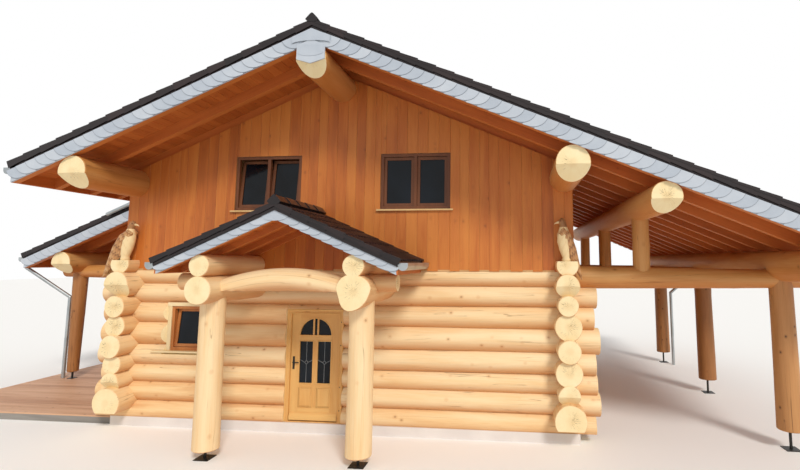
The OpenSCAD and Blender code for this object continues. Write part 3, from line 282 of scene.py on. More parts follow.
def endFinish(name, tones, ringWidth):
    # Sawn log ends: rings round the pith, rays of drying cracks, a greyer heart.
    pale, mid, dark, knot = tones.split()
    finish = Finish(name, 0.7)
    grain = finish.attribute("grain")
    parts = finish.node("ShaderNodeSeparateXYZ", {}, {0: grain})
    across = Wire(finish.tree, parts.socket.node.outputs[1])
    upward = Wire(finish.tree, parts.socket.node.outputs[2])
    wobble = finish.noise(grain, 7.0, 2.0) - 0.5
    radius = (across * across + upward * upward).maths("SQRT") + wobble * 0.012
    ring = (radius * (2 * math.pi / ringWidth)).maths("SINE") * 0.5 + 0.5
    angle = across.maths("ARCTAN2", upward)
    rays = finish.noise(finish.node("ShaderNodeCombineXYZ", {}, {0: angle * 5.0, 1: radius * 3.0, 2: 0.0}), 1.0, 2.0)
    broad = finish.noise(grain, 3.0, 2.0)
    level = ring * 0.3 + broad * 0.5 + rays * 0.2
    colour = finish.ramp(level, [(0.15, linear(pale)), (0.55, linear(mid)), (1.0, linear(dark))])
    heart = 1.0 - radius.between(0.03, 0.11)
    colour = finish.mix(heart * 0.25, colour, linear(dark))
    crack = (1.0 - (rays - 0.5).maths("ABSOLUTE").between(0.004, 0.02)) * (1.0 - radius.between(0.1, 0.19)) \
        * broad.between(0.45, 0.6)
    colour = finish.mix(crack * 0.85, colour, linear(knot, 0.5))
    return finish.paint(Base_Color=colour, Normal=finish.bump(ring * 0.3 - crack * 2.0, 0.35, 0.004))


# Painted shade: the orange laid on the logs' downward-facing faces.
logUnderPaintedShade = ("#c4722f", 0.66, -0.2, 0.95)
soffitTones = "#cd7432 #b86126 #974919 #66300f"
doorTones = "#e4b872 #d69f59 #b77b39 #8a5424"
floorTones = "#d9ad76 #c19058 #a3733f #5e3a1c"
logWood = woodFinish("logWood", "#f4ddb2 #ecc792 #d09259 #8a5a30", toneShare=0.24, knots=3.0, under=logUnderPaintedShade)
# Darker, more orange copy of the log wood for the logs under the roofs: painted shade.
purlinShadeWood = woodFinish("purlinShadeWood", "#d9a868 #c48848 #a0642c #6a3f1c", toneShare=0.24, knots=2.6, under=logUnderPaintedShade)
logEnd = endFinish("logEnd", "#f9ebc6 #f0d9a6 #dab274 #8a5f38", 0.011)
postWood = woodFinish("postWood", "#c08a54 #a46c39 #805028 #3e2310", toneShare=0.3, checks=0.8, eyes=0.8)
boardWood = woodFinish("boardWood", "#cf7f34 #bb6624 #954a19 #6a3714", toneShare=0.24, knots=2.6, checks=0.0,
                       roughness=0.5, eyes=0.35)
print("finishes ready")


# ---- mesh helpers
class Gather:
    # Collects points and faces of many parts for one mesh. Kinds pick the material.
    def __init__(self):
        self.points, self.grain, self.tone, self.faces, self.kinds = [], [], [], [], []
        self.count = 0

    def add(self, points, faces, kinds, grain, tone):
        self.points.append(np.asarray(points, float))
        self.grain.append(np.asarray(grain, float))
        self.tone.append(np.full(len(points), tone))
        self.faces.extend([tuple(i + self.count for i in face) for face in faces])
        self.kinds.extend(kinds)
        self.count += len(points)

    def piece(self, name, materials, body, slot, nodes=(), angle=35.0):
        mesh = bpy.data.meshes.new(name)
        mesh.from_pydata(np.concatenate(self.points).tolist(), [], self.faces)
        mesh.polygons.foreach_set("material_index", np.array(self.kinds, np.int32))
        for key, kind, data in (("grain", "FLOAT_VECTOR", np.concatenate(self.grain)),
                                ("tone", "FLOAT", np.concatenate(self.tone))):
            attribute = mesh.attributes.new(key, kind, "POINT")
            attribute.data.foreach_set("vector" if key == "grain" else "value", data.astype(np.float32).ravel())
        return dress(mesh, name, materials, body, nodes, angle)


def dress(mesh, name, materials, body, nodes=(), angle=35.0):
    # Turns a finished mesh into a piece that rides on a body.
    mesh.shade_smooth()
    mesh.set_sharp_from_angle(angle=math.radians(angle))
    for material in materials:
        mesh.materials.append(material)
    piece = bpy.data.objects.new(name, mesh)
    bpy.context.scene.collection.objects.link(piece)
    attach(piece, body)
    if nodes:
        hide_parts(*nodes)
    return piece


def cutMesh(points, faces, kinds, cutters):
    # Takes the cutters, closed prisms, away from a closed mesh.
    def solid(name, points, faces, kinds):
        mesh = bpy.data.meshes.new(name)
        mesh.from_pydata([tuple(p) for p in points], [], faces)
        mesh.polygons.foreach_set("material_index", np.array(kinds, np.int32))
        for _ in range(2):
            mesh.materials.append(None)
        made = bpy.data.objects.new(name, mesh)
        bpy.context.scene.collection.objects.link(made)
        return made
    body = solid("carved", points, faces, kinds)
    tools = []
    for tool in cutters:
        cutter = solid("cutter", tool[0], tool[1], [1] * len(tool[1]))
        tools.append(cutter)
        change = body.modifiers.new("cut", "BOOLEAN")
        change.operation = "DIFFERENCE"
        change.solver = "EXACT"
        change.object = cutter
    mesh = bpy.data.meshes.new_from_object(body.evaluated_get(bpy.context.evaluated_depsgraph_get()))
    points = np.array([v.co for v in mesh.vertices])
    faces = [tuple(p.vertices) for p in mesh.polygons]
    kinds = [p.material_index for p in mesh.polygons]
    for made in tools + [body]:
        data = made.data
        bpy.data.objects.remove(made)
        bpy.data.meshes.remove(data)
    bpy.data.meshes.remove(mesh)
    return points, faces, kinds


def turnsLeft(outline):
    # True for an outline that runs anticlockwise.
    return sum(a[0] * b[1] - b[0] * a[1] for a, b in zip(outline, [*outline[1:], outline[0]])) > 0


def prism(outline, low, high, axes):
    # Closed prism: outline in two axes, from low to high in the third. axes is like "xz".
    order = {"x": 0, "y": 1, "z": 2}
    a, b = order[axes[0]], order[axes[1]]
    c = 3 - a - b
    points = np.zeros((2 * len(outline), 3))
    for i, (u, v) in enumerate(outline):
        points[i, [a, b, c]] = (u, v, low)
        points[i + len(outline), [a, b, c]] = (u, v, high)
    n = len(outline)
    faces = [tuple(range(n - 1, -1, -1)), tuple(range(n, 2 * n))]
    faces += [(i, (i + 1) % n, (i + 1) % n + n, i + n) for i in range(n)]
    if turnsLeft(outline) != ((b - a) % 3 == 1):
        faces = [face[::-1] for face in faces]
    return points, faces


def box(low, high):
    return prism([(low[0], low[1]), (high[0], low[1]), (high[0], high[1]), (low[0], high[1])], low[2], high[2], "xy")


logForm = {"segments": 28, "step": 0.13, "wave": 0.011, "wander": 0.005, "rim": 0.012, "knots": 3.0}


def roundLog(gather, start, end, radii, seed, cutters=(), step=None, butt=None, shares=None):
    # Hand-peeled round log with slight waves and knots. radii stand at even steps, or at shares of the length.
    # butt shapes the start: (reach along the log, [(degrees, share of the radius)]).
    chance = np.random.default_rng(seed)
    start, end = Vector(start), Vector(end)
    along = (end - start).normalized()
    length = (end - start).length
    up = Vector((0, 0, 1)) if abs(along.z) < 0.9 else Vector((0, 1, 0))
    across = along.cross(up).normalized()
    upward = across.cross(along)
    count = max(4, int(length / (step or logForm["step"])))
    rim = logForm["rim"]
    places = np.concatenate([[0.0], np.linspace(rim, length - rim, count), [length]])
    angles = np.linspace(0, 2 * math.pi, logForm["segments"], endpoint=False)
    phase = chance.uniform(0, 2 * math.pi, 8)
    t, q = np.meshgrid(places, angles, indexing="ij")
    shares = np.linspace(0, 1, len(radii)) if shares is None else shares
    radius = np.interp(places / length, shares, radii)[:, None]
    wave = logForm["wave"]
    shape = radius * (1 + wave * np.sin(2 * q + phase[0] + 0.35 * t) + 0.6 * wave * np.sin(3 * q + phase[1] - 0.6 * t)
                      + 0.35 * wave * np.sin(5 * q + phase[2] + 1.1 * t) + 0.5 * wave * np.sin(1.9 * t + phase[3]))
    for _ in range(int(length * logForm["knots"])):
        place, turn = chance.uniform(0, length), chance.uniform(0, 2 * math.pi)
        high, wide = chance.uniform(0.003, 0.009), chance.uniform(0.05, 0.09)
        apart = np.angle(np.exp(1j * (q - turn))) * radius
        shape = shape + high * np.exp(-((t - place) ** 2 + apart ** 2) / wide ** 2)
    if butt:
        fade = np.clip(1 - t / butt[0], 0, 1)
        swell = np.interp(np.degrees(q), *zip(*butt[1]), period=360)
        shape = shape * (1 + (swell - 1) * fade ** 2 * (3 - 2 * fade))
    shape[0] -= rim * 0.8
    shape[-1] -= rim * 0.8
    wander = logForm["wander"]
    a = shape * np.cos(q) + wander * np.sin(1.1 * t + phase[4])
    b = shape * np.sin(q) + wander * np.sin(0.8 * t + phase[5])
    grid = (np.array(start) + t[..., None] * np.array(along) + a[..., None] * np.array(across)
            + b[..., None] * np.array(upward))
    rings, n = grid.shape[:2]
    points = list(grid.reshape(-1, 3))
    faces, kinds = [], []  # the faces point inwards; a cut turns them outwards
    for i in range(rings - 1):
        for j in range(n):
            k = (j + 1) % n
            faces.append((i * n + k, (i + 1) * n + k, (i + 1) * n + j, i * n + j))
            kinds.append(0)
    for ring, out in ((0, -1), (rings - 1, 1)):
        middle = grid[ring].mean(axis=0)
        inner = len(points)
        points.extend(middle + (grid[ring] - middle) * 0.55 + out * 0.004 * np.array(along))
        points.append(middle + out * 0.006 * np.array(along))
        for j in range(n):
            k = (j + 1) % n
            ends = [(ring * n + j, ring * n + k, inner + k, inner + j), (inner + j, inner + k, inner + n)]
            for face in ends:
                faces.append(face[::-1] if out < 0 else face)
                kinds.append(1)
    points = np.array(points)
    if cutters:
        points, faces, kinds = cutMesh(points, faces, kinds, cutters)
    away = points - np.array(start)
    pith = chance.uniform(-0.018, 0.018, 2)
    grain = np.stack([away @ np.array(along) + 5.17 * (seed % 97), away @ np.array(across) + pith[0],
                      away @ np.array(upward) + pith[1]], 1)
    gather.add(points, faces, kinds, grain, chance.uniform(0, 1))


# ---- log walls
window = {"width": 0.9, "low": 1.46, "high": 2.34, "flatOver": 0.07, "flatBeside": 0.09, "frontX": -2.99,
          "rearX": 2.99, "sideY": 1.8625}
door = {"x": -0.435, "width": 1.144, "top": 2.3}


def windowCutters(turn, place):
    # Opening in a log wall that faces -Y, turned and moved to its wall.
    depth = crossRadius(4)
    out = depth + house["planeIn"]
    flatY = -depth + house["planeIn"]
    half = window["width"] / 2
    flatX = half + window["flatBeside"]
    hole = box((-half, -2 * out, window["low"]), (half, 2 * out, window["high"]))
    plane = prism([(-flatX, flatY), (flatX, flatY), (flatX + out, flatY - out), (-flatX - out, flatY - out)],
                  window["low"] - window["flatOver"], window["high"] + window["flatOver"], "xy")
    matrix = np.array(Matrix.Translation(place) @ Matrix.Rotation(turn, 4, "Z"))
    return [((points @ matrix[:3, :3].T) + matrix[:3, 3], faces) for points, faces in (plane, hole)]


def crossesWindow(z, radius):
    return z + radius > window["low"] - window["flatOver"] and z - radius < window["high"] + window["flatOver"]


def endCutter(x, y, z, out, angle, radius):
    # What is cut off below the slanted end of a log that lies along Y.
    steep, run = math.tan(math.radians(angle)), 3 * radius
    outline = [(y - out * 0.5, z + 0.5 * steep), (y + out * run, z - run * steep), (y - out * 0.5, z - run * steep)]
    return prism(outline, x - 1, x + 1, "yz")


def frontWall():
    gather = Gather()
    y = frontY
    doorLow, doorHigh = door["x"] - door["width"] / 2, door["x"] + door["width"] / 2
    cut = windowCutters(0, (window["frontX"], y, 0))
    for k in range(6):
        r, z = crossRadius(k), crossZ(k)
        under = [box((-9, y - 1, -1), (9, y + 1, plinthTop))] if k == 0 else []
        opening = cut if crossesWindow(z, r) else []
        roundLog(gather, (-halfWidth - endOut(k), y, z), (doorLow, y, z), (r * 1.02, r * 0.99), 11 + k,
                 under + opening, 0.08 if opening else None)
        roundLog(gather, (doorHigh, y, z), (halfWidth + endOut(k + 2), y, z), (r * 0.99, r * 1.02), 31 + k, under)
    roundLog(gather, (doorLow, y, crossZ(5)), (doorHigh, y, crossZ(5)), (crossRadius(5), crossRadius(5)), 45,
             [box((-3, y - 1, 0), (3, y + 1, door["top"]))])
    roundLog(gather, (-halfWidth - endOut(6), y, crossZ(6)), (halfWidth + endOut(8), y, crossZ(6)),
             (crossRadius(6), crossRadius(6)), 46)
    gather.piece("frontLogs", [logWood, logEnd], "house", "log_wood",
                 ["front_wall_left", "front_wall_right", "front_wall_over_door"])


taper = {"radius": 0.158, "from": 0.5, "shade": 0.12}


def taperLog(gather, y, low, high, seed):
    # Long log that tapers out past the side walls to the outer posts.
    stop = halfWidth + house["logEnd"]
    places = sorted({low, high, *[s * stop for s in (-1, 1) if low < s * stop < high]})
    radii = [taper["radius"] if abs(p) > stop + taper["from"] else house["logRadius"] for p in places]
    z = crossZ(topCourse)
    roundLog(gather, (low, y, z), (high, y, z), radii, seed, shares=[(p - low) / (high - low) for p in places])


def paintShadeOutside(gather, reach):
    # Painted shade: the stretches beyond the walls, under the roof, take the purlins' darker wood.
    points = np.concatenate(gather.points)
    gather.kinds = [2 if kind == 0 and abs(points[list(face), 0].mean()) > reach else kind
                    for kind, face in zip(gather.kinds, gather.faces)]


def topLogs():
    for name, node, y, low, seed in (("frontTopLog", "front_top_log", frontY, -halfWidth - endOut(topCourse), 51),
                                     ("rearTopLog", "rear_top_log", rearY, -tieX, 52)):
        gather = Gather()
        taperLog(gather, y, low, tieX, seed)
        paintShadeOutside(gather, halfWidth + taper["shade"])
        gather.piece(name, [logWood, logEnd, purlinShadeWood], "house", "log_wood", [node])
    gather = Gather()
    taperLog(gather, midY, halfWidth, tieX, 53)
    taperLog(gather, house["deckPostY"], -tieX, -halfWidth, 54)
    gather.piece("tieLogs", [purlinShadeWood, logEnd], "house", "log_wood", ["tie_logs"])


def rearWall():
    gather = Gather()
    y = rearY
    cut = []
    for s in (-1, 1):
        cut += windowCutters(math.pi, (s * window["rearX"], y, 0))
    for k in range(7):
        r, z = crossRadius(k), crossZ(k)
        under = [box((-9, y - 1, -1), (9, y + 1, plinthTop))] if k == 0 else []
        opening = cut if crossesWindow(z, r) and k < 6 else []
        roundLog(gather, (-halfWidth - endOut(k + 4), y, z), (halfWidth + endOut(k + 1), y, z), (r * 1.02, r * 0.99),
                 61 + k, under + opening, 0.1 if opening else None)
    gather.piece("rearLogs", [logWood, logEnd], "house", "log_wood", ["rear_wall"])


def sideWall(side, name, node, seed):
    gather = Gather()
    x = side * halfWidth
    front, rear = frontY, rearY
    cut = []
    for t in (-1, 1):
        cut += windowCutters(side * math.pi / 2, (x, midY + t * window["sideY"], 0))
    for k in range(topCourse + 1):
        r, z = sideRadius(side, k), sideZ(side, k)
        low, high = front - endOut(k + 3), rear + endOut(k + 5)
        cutters = [box((x - 1, -9, -1), (x + 1, 9, house["sideBase"]))] if k == 0 else []
        if crossesWindow(z, r) and k < 6:
            cutters = cutters + cut
        if k == topCourse:
            for start, end in ((-9, front - gableOut), (rear + gableOut, 9)):
                cutters.append(box((x - 1, start, z + 0.08), (x + 1, end, 9)))
        if k in (1, topCourse - 1):
            cutters += [endCutter(x, low, z, 1, house["endAngle"], r), endCutter(x, high, z, -1, house["endAngle"], r)]
        roundLog(gather, (x, low, z), (x, high, z), (r * 1.01, r * 0.99), seed + k, cutters,
                 0.1 if cutters else None)
    gather.piece(name, [logWood, logEnd], "house", "log_wood", [node])


frontWall()
topLogs()
rearWall()
sideWall(-1, "leftLogs", "left_wall", 81)
sideWall(1, "rightLogs", "right_wall", 101)
print("log walls ready")


# ---- purlins and posts
purlin = {"underLift": 0.04, "underAngle": 43, "back": 0.02, "proud": 0.035, "radii": [0.275, 0.28, 0.245, 0.275]}


def purlinLog(gather, x, low, high, radius, seed):
    z = purlinZ(x, radius)
    cutters = [endCutter(x, y, z - purlin["underLift"], out, purlin["underAngle"], radius)
               for y, out in ((low, 1), (high, -1))]
    roundLog(gather, (x, low, z), (x, high, z), (radius, radius * 0.985), seed, cutters, 0.12)


def purlins():
    front = vergeFront + purlin["back"]
    rear = vergeRear - purlin["back"]
    terrace = terraceVerge + purlin["back"]
    ridge, wall, middle, eave = purlin["radii"]
    rows = [
        ("ridgePurlin", "ridge_purlin", [(0, vergeFront - purlin["proud"], vergeRear + purlin["proud"], ridge)]),
        ("wallPurlins", "wall_purlins", [(-halfWidth, front, rear, wall), (halfWidth, front, rear, wall)]),
        ("middlePurlins", "mid_purlins", [(kingX, front, rear, middle), (-kingX, terrace, rear, middle)]),
        ("eavePurlins", "eave_purlins", [(postX, front, rear, eave), (-postX, terrace, rear, eave)]),
    ]
    for row, (name, node, logs) in enumerate(rows):
        gather = Gather()
        for i, (x, low, high, radius) in enumerate(logs):
            purlinLog(gather, x, low, high, radius, 121 + 3 * row + i)
        gather.piece(name, [purlinShadeWood, logEnd], "house", "purlin_wood", [node])


post = {"foot": 0.33, "carport": (0.205, 0.19), "deck": (0.13, 0.172), "king": (0.155, 0.15)}


def posts():
    top, kingTop = crossZ(topCourse), purlinZ(kingX, purlin["radii"][2])
    carportY, deckY = [frontY, midY, rearY], [house["deckPostY"], rearY]
    kings = [(kingX, y) for y in carportY] + [(-kingX, y) for y in deckY]
    rows = [("carport", "carport_posts", postWood, [(postX, y) for y in carportY], post["foot"], top, 141),
            ("deck", "deck_posts", postWood, [(-postX, y) for y in deckY], post["foot"], top, 151),
            ("king", "king_posts", purlinShadeWood, kings, top, kingTop, 161)]
    for kind, node, wood, places, low, high, seed in rows:
        gather = Gather()
        for i, (x, y) in enumerate(places):
            roundLog(gather, (x, y, low), (x, y, high), post[kind], seed + i)
        gather.piece(kind + "Posts", [wood, logEnd], "house", "post_wood", [node])


# ---- porch logs
porch = {"x": -0.369, "span": 2.6, "postY": 1.52, "out": 2.05, "foot": 0.15, "postRadius": 0.212, "plateRadius": 0.232,
         "buttRadius": 0.286, "plateZ": 2.752, "topRadius": 0.18, "archRadius": 0.195, "archRise": 0.247,
         "archZ": 2.676, "archUnder": 2.735, "stubRadius": 0.145, "stubOut": 0.6, "slope": 0.442, "ridgeZ": 3.91,
         "eave": 2.0, "rafterHeight": 0.11, "tileLayer": 0.15,
         "butt": (0.42, [(15, 1.06), (41, 1.02), (60, 0.97), (75, 0.95), (100, 0.98), (128, 1.03), (165, 1.01),
                         (181, 0.92), (201, 0.86), (222, 0.95), (241, 1.04), (259, 1.07), (288, 0.98), (319, 0.93),
                         (345, 0.94)])}
porchSlant = math.sqrt(1 + porch["slope"] ** 2)


def porchZ(x):
    return porch["ridgeZ"] - porch["slope"] * abs(x - porch["x"])


def porchLogs():
    y = frontY - porch["postY"]
    front = frontY - porch["out"] + 0.05
    half = porch["span"] / 2
    posts, plates, tops, arch = Gather(), Gather(), Gather(), Gather()
    topZ = porchZ(porch["x"] + half) - (porch["topRadius"] - 0.018) * porchSlant
    for i, s in enumerate((-1, 1)):
        x = porch["x"] + s * half
        roundLog(posts, (x, y, porch["foot"]), (x, y, porch["plateZ"]),
                 [porch["postRadius"] * share for share in (1, 0.97, 0.95)], 171 + i)
        butt = porch["buttRadius"] if s > 0 else porch["plateRadius"]
        roundLog(plates, (x, front, porch["plateZ"]), (x, frontY, porch["plateZ"]),
                 (butt, porch["plateRadius"]), 175 + i, step=0.09, butt=porch["butt"] if s > 0 else None)
        roundLog(tops, (x, front, topZ), (x, frontY - 0.2, topZ),
                 (porch["topRadius"], porch["topRadius"]), 178 + i)
        stubZ = porch["archUnder"] + porch["stubRadius"]
        near, far = x + s * porch["plateRadius"] * 0.5, x + s * porch["stubOut"]
        roundLog(arch, (min(near, far), y, stubZ), (max(near, far), y, stubZ),
                 (porch["stubRadius"], porch["stubRadius"]), 181 + i, step=0.06)
    archLog(arch, y, half)
    for gather, name, node in ((posts, "porchPosts", "porch_posts"), (plates, "porchPlateLogs", "porch_plate_logs"),
                               (tops, "porchTopLogs", "porch_top_logs"), (arch, "porchArchLog", "porch_arch_log")):
        gather.piece(name, [logWood, logEnd], "house", "log_wood", [node])


def archLog(gather, y, half):
    # Log bent up in its middle, flat below: a round log whose points are lifted.
    straight = Gather()
    roundLog(straight, (porch["x"] - half, y, porch["archZ"]), (porch["x"] + half, y, porch["archZ"]),
             (porch["archRadius"], porch["archRadius"]), 185, step=0.08)
    points = np.concatenate(straight.points)
    share = (points[:, 0] - porch["x"]) / half
    points[:, 2] += porch["archRise"] * (1 - share ** 2)
    points[:, 2] = np.maximum(points[:, 2], porch["archUnder"])
    gather.add(points, straight.faces, straight.kinds, np.concatenate(straight.grain), 0.3)


purlins()
posts()
porchLogs()
print("purlins, posts and porch logs ready")


# ---- repeats made with geometry nodes
def fieldTree():
    # Sets a shape in rows and columns on the XY plane, each a little turned, with its own tone.
    tree = bpy.data.node_groups.new("fieldOfShapes", "GeometryNodeTree")
    sizes = [("Shape", "NodeSocketObject", None), ("Columns", "NodeSocketInt", 10), ("Rows", "NodeSocketInt", 10),
             ("Column Step", "NodeSocketFloat", 0.3), ("Row Step", "NodeSocketFloat", 0.3),
             ("Row Shift", "NodeSocketFloat", 0.0), ("Turn", "NodeSocketFloat", 0.0),
             ("Lift", "NodeSocketFloat", 0.0), ("Seed", "NodeSocketInt", 1), ("Material", "NodeSocketMaterial", None)]
    for name, kind, value in sizes:
        made = tree.interface.new_socket(name, in_out="INPUT", socket_type=kind)
        if value is not None:
            made.default_value = value
    tree.interface.new_socket("Geometry", in_out="OUTPUT", socket_type="NodeSocketGeometry")
    start = tree.nodes.new("NodeGroupInput")
    given = {name: Wire(tree, start.outputs[name]) for name, _, _ in sizes}

    def node(kind, settings=None, inputs=None, output=0):
        return addNode(tree, kind, settings, inputs, output)
    total = node("ShaderNodeMath", {"operation": "MULTIPLY"}, {0: given["Columns"], 1: given["Rows"]})
    points = node("GeometryNodePoints", {}, {"Count": total})
    index = node("GeometryNodeInputIndex")
    column = node("ShaderNodeMath", {"operation": "FLOORED_MODULO"}, {0: index, 1: given["Columns"]})
    row = node("ShaderNodeMath", {"operation": "FLOOR"},
               {0: (index + 0.0001) / given["Columns"]})
    odd = node("ShaderNodeMath", {"operation": "FLOORED_MODULO"}, {0: row, 1: 2.0})
    lift = node("FunctionNodeRandomValue", {"data_type": "FLOAT"},
                {2: given["Lift"] * -1.0, 3: given["Lift"], "ID": index, "Seed": given["Seed"] + 5.0}, 1)
    place = node("ShaderNodeCombineXYZ", {}, {0: column * given["Column Step"] + odd * given["Row Shift"],
                                              1: row * given["Row Step"], 2: lift})
    points = node("GeometryNodeSetPosition", {}, {"Geometry": points, "Position": place})
    shape = node("GeometryNodeObjectInfo", {}, {"Object": given["Shape"]}, "Geometry")
    turn = node("FunctionNodeRandomValue", {"data_type": "FLOAT"},
                {2: given["Turn"] * -1.0, 3: given["Turn"], "ID": index, "Seed": given["Seed"]}, 1)
    turned = node("ShaderNodeCombineXYZ", {}, {0: turn, 1: turn * 0.5, 2: turn * 0.3})
    tone = node("FunctionNodeRandomValue", {"data_type": "FLOAT"},
                {2: 0.0, 3: 1.0, "ID": index, "Seed": given["Seed"] + 9.0}, 1)
    copies = node("GeometryNodeInstanceOnPoints", {}, {"Points": points, "Instance": shape, "Rotation": turned})
    copies = node("GeometryNodeStoreNamedAttribute", {"data_type": "FLOAT", "domain": "INSTANCE"},
                  {"Geometry": copies, "Name": "tone", "Value": tone})
    real = node("GeometryNodeRealizeInstances", {}, {"Geometry": copies})
    done = node("GeometryNodeSetMaterial", {}, {"Geometry": real, "Material": given["Material"]})
    end = tree.nodes.new("NodeGroupOutput")
    tree.links.new(done.socket, end.inputs["Geometry"])
    return tree


fieldNodes = fieldTree()


def field(shape, matrix, columns, rows, columnStep, rowStep, material, rowShift=0.0, turn=0.0, lift=0.0, seed=1):
    # Plain mesh of a field of shapes, moved to its place; the shape isn't needed after it.
    holder = bpy.data.objects.new("field", bpy.data.meshes.new("field"))
    bpy.context.scene.collection.objects.link(holder)
    change = holder.modifiers.new("field", "NODES")
    change.node_group = fieldNodes
    values = {"Shape": shape, "Columns": columns, "Rows": rows, "Column Step": columnStep, "Row Step": rowStep,
              "Row Shift": rowShift, "Turn": turn, "Lift": lift, "Seed": seed, "Material": material}
    for item in fieldNodes.interface.items_tree:
        if item.in_out == "INPUT":
            change[item.identifier] = values[item.name]
    bpy.context.view_layer.update()
    mesh = bpy.data.meshes.new_from_object(holder.evaluated_get(bpy.context.evaluated_depsgraph_get()))
    mesh.transform(matrix)
    data = holder.data
    bpy.data.objects.remove(shape)
    bpy.data.objects.remove(holder)
    bpy.data.meshes.remove(data)
    return mesh


def shapeObject(name, points, faces, edge=()):
    mesh = bpy.data.meshes.new(name)
    mesh.from_pydata([tuple(p) for p in points], [], faces)
    if len(edge):
        mesh.attributes.new("edge", "FLOAT", "POINT").data.foreach_set("value", np.array(edge, np.float32))
    return bpy.data.objects.new(name, mesh)


def joinMeshes(name, meshes, extra, material, nodes, angle):
    # One piece of the house from several meshes, with their tone and their edge mask for a painted shadow line kept;
    # extra are (points, faces, tone).
    points, faces, tones, edges = [], [], [], []
    count = 0
    for mesh in meshes:
        co = np.zeros(len(mesh.vertices) * 3)
        mesh.vertices.foreach_get("co", co)
        tone = np.zeros(len(mesh.vertices))
        mesh.attributes["tone"].data.foreach_get("value", tone)
        points.append(co.reshape(-1, 3))
        tones.append(tone)
        edge = np.zeros(len(mesh.vertices))
        if "edge" in mesh.attributes:
            mesh.attributes["edge"].data.foreach_get("value", edge)
        edges.append(edge)
        faces.extend([tuple(i + count for i in p.vertices) for p in mesh.polygons])
        count += len(mesh.vertices)
        bpy.data.meshes.remove(mesh)
    for more, sides, tone in extra:
        points.append(np.asarray(more, float))
        tones.append(np.full(len(more), float(tone)))
        edges.append(np.zeros(len(more)))
        faces.extend([tuple(i + count for i in f) for f in sides])
        count += len(more)
    made = bpy.data.meshes.new(name)
    made.from_pydata(np.concatenate(points).tolist(), [], faces)
    for key, values in (("tone", tones), ("edge", edges)):
        attribute = made.attributes.new(key, "FLOAT", "POINT")
        attribute.data.foreach_set("value", np.concatenate(values).astype(np.float32))
    return dress(made, name, [material], "house", nodes, angle)


def slopeMatrix(side, top, tilt, y, out, zOff):
    # Frame on a roof slope: X along the eave, Y up the slope, Z away from it; origin out from the ridge.
    angle = math.atan(tilt)
    up = Vector((-side * math.cos(angle), 0, math.sin(angle)))
    normal = Vector((side * math.sin(angle), 0, math.cos(angle)))
    along = up.cross(normal)
    turn = Matrix((along, up, normal)).transposed().to_4x4()
    place = Vector((top[0] + side * out, y, top[1] - tilt * out + zOff))
    return Matrix.Translation(place) @ turn


# ---- roof tiles
tile = {"width": 0.3, "gauge": 0.34, "roll": 0.03, "thick": 0.016, "nose": 0.016, "lift": 0.0012, "turn": 0.004,
        "flapLow": 0.05, "inset": 0.0065}


def tileShape(gauge, width):
    # Double-roll tile from its nose, at y = 0, up to its head under the next row.
    half = width / 2
    wave = [(0, 0), (0.3, 0), (0.48, 0.85), (0.6, 1), (0.74, 0.85), (0.92, 0)]
    outline = [(u * half + h * half, v * tile["roll"]) for h in (0, 1) for u, v in wave] + [(width, 0)]
    length = gauge + 0.07
    rise, thick = tile["nose"], tile["thick"]
    points = []
    for y, z, drop in ((0.0, rise, 0.0), (0.0, rise, thick), (length, 0.0, 0.0), (length, 0.0, thick)):
        points += [(u - 0.004, y, v + z - drop) for u, v in outline]
    n = len(outline)
    faces = []
    for i in range(n - 1):
        faces += [(i, i + 1, 2 * n + i + 1, 2 * n + i), (n + i, n + i + 1, i + 1, i),
                  (3 * n + i, 3 * n + i + 1, n + i + 1, n + i), (2 * n + i, 2 * n + i + 1, 3 * n + i + 1, 3 * n + i)]
    faces += [(0, 2 * n, 3 * n, n), (n - 1, 2 * n - 1, 4 * n - 1, 3 * n - 1)]
    return shapeObject("tileShape", points, faces)


def vergeTile(length, drop):
    # Flap that turns down over the verge, as long as one row, a little proud at its nose.
    # Its outline runs clockwise, so its faces point inwards.
    thick = tile["thick"]
    outline = [(0, 0.05), (length, 0.03), (length, -drop + 0.018), (0, -drop)]
    points = [(x, u, v) for x in (0, thick) for u, v in outline]
    faces = [(3, 2, 1, 0), (4, 5, 6, 7), (0, 1, 5, 4), (1, 2, 6, 5), (2, 3, 7, 6), (3, 0, 4, 7)]
    return shapeObject("vergeTile", points, faces)


def tileRoof(name, node, parts, top, tilt, layer, battens):
    # parts are (side, near, far, yLow, yHigh, columns, verges with flaps), near and far out from the ridge;
    # battens are (side, near, far, yLow, yHigh, eave or None) for the layer below the tiles.
    meshes, extra = [], []
    slope = math.sqrt(1 + tilt ** 2)
    base = layer - (tile["roll"] + tile["nose"]) * slope
    for seed, (side, near, far, low, high, columns, flaps) in enumerate(parts):
        low += tile["inset"] if -1 in flaps else 0
        high -= tile["inset"] if 1 in flaps else 0
        length = (far - near) * slope
        rows = max(1, round(length / tile["gauge"]))
        gauge = length / rows
        width = (high - low) / columns
        start = high if side < 0 else low
        matrix = slopeMatrix(side, top, tilt, start, far, base)
        shape = tileShape(gauge, width)
        meshes.append(field(shape, matrix, columns, rows, width, gauge, tileFinish, turn=tile["turn"],
                            lift=tile["lift"], seed=seed + 3))
        for flap in flaps:
            shape = vergeTile(gauge + 0.03, base - tile["flapLow"])
            y = low if flap < 0 else high
            across = 0.0 if (flap < 0) == (side > 0) else -tile["thick"]
            matrix = slopeMatrix(side, top, tilt, y, far, base) @ Matrix.Translation((across, 0, 0))
            meshes.append(field(shape, matrix, 1, rows, 1.0, gauge, tileFinish, turn=0.006, seed=seed + 31))
    for side, near, far, low, high, eave in battens:
        inset, lip = 0.03, layer - house["tileLip"] + 0.01
        slab = [(near, 0.0), (far, 0.0), (far, base - 0.02), (near, base - 0.02)]
        if eave:
            slab = [(near, 0.0), (eave, 0.0), (eave, lip), (far - inset, lip), (far - inset, base - 0.01),
                    (near, base - 0.02)]
        outline = [(top[0] + side * d, top[1] - tilt * d + h) for d, h in slab]
        points, faces = prism(outline, low + inset, high - inset, "xz")
        extra.append((points, faces, 0.5))
    joinMeshes(name, meshes, extra, tileFinish, [node], 40)


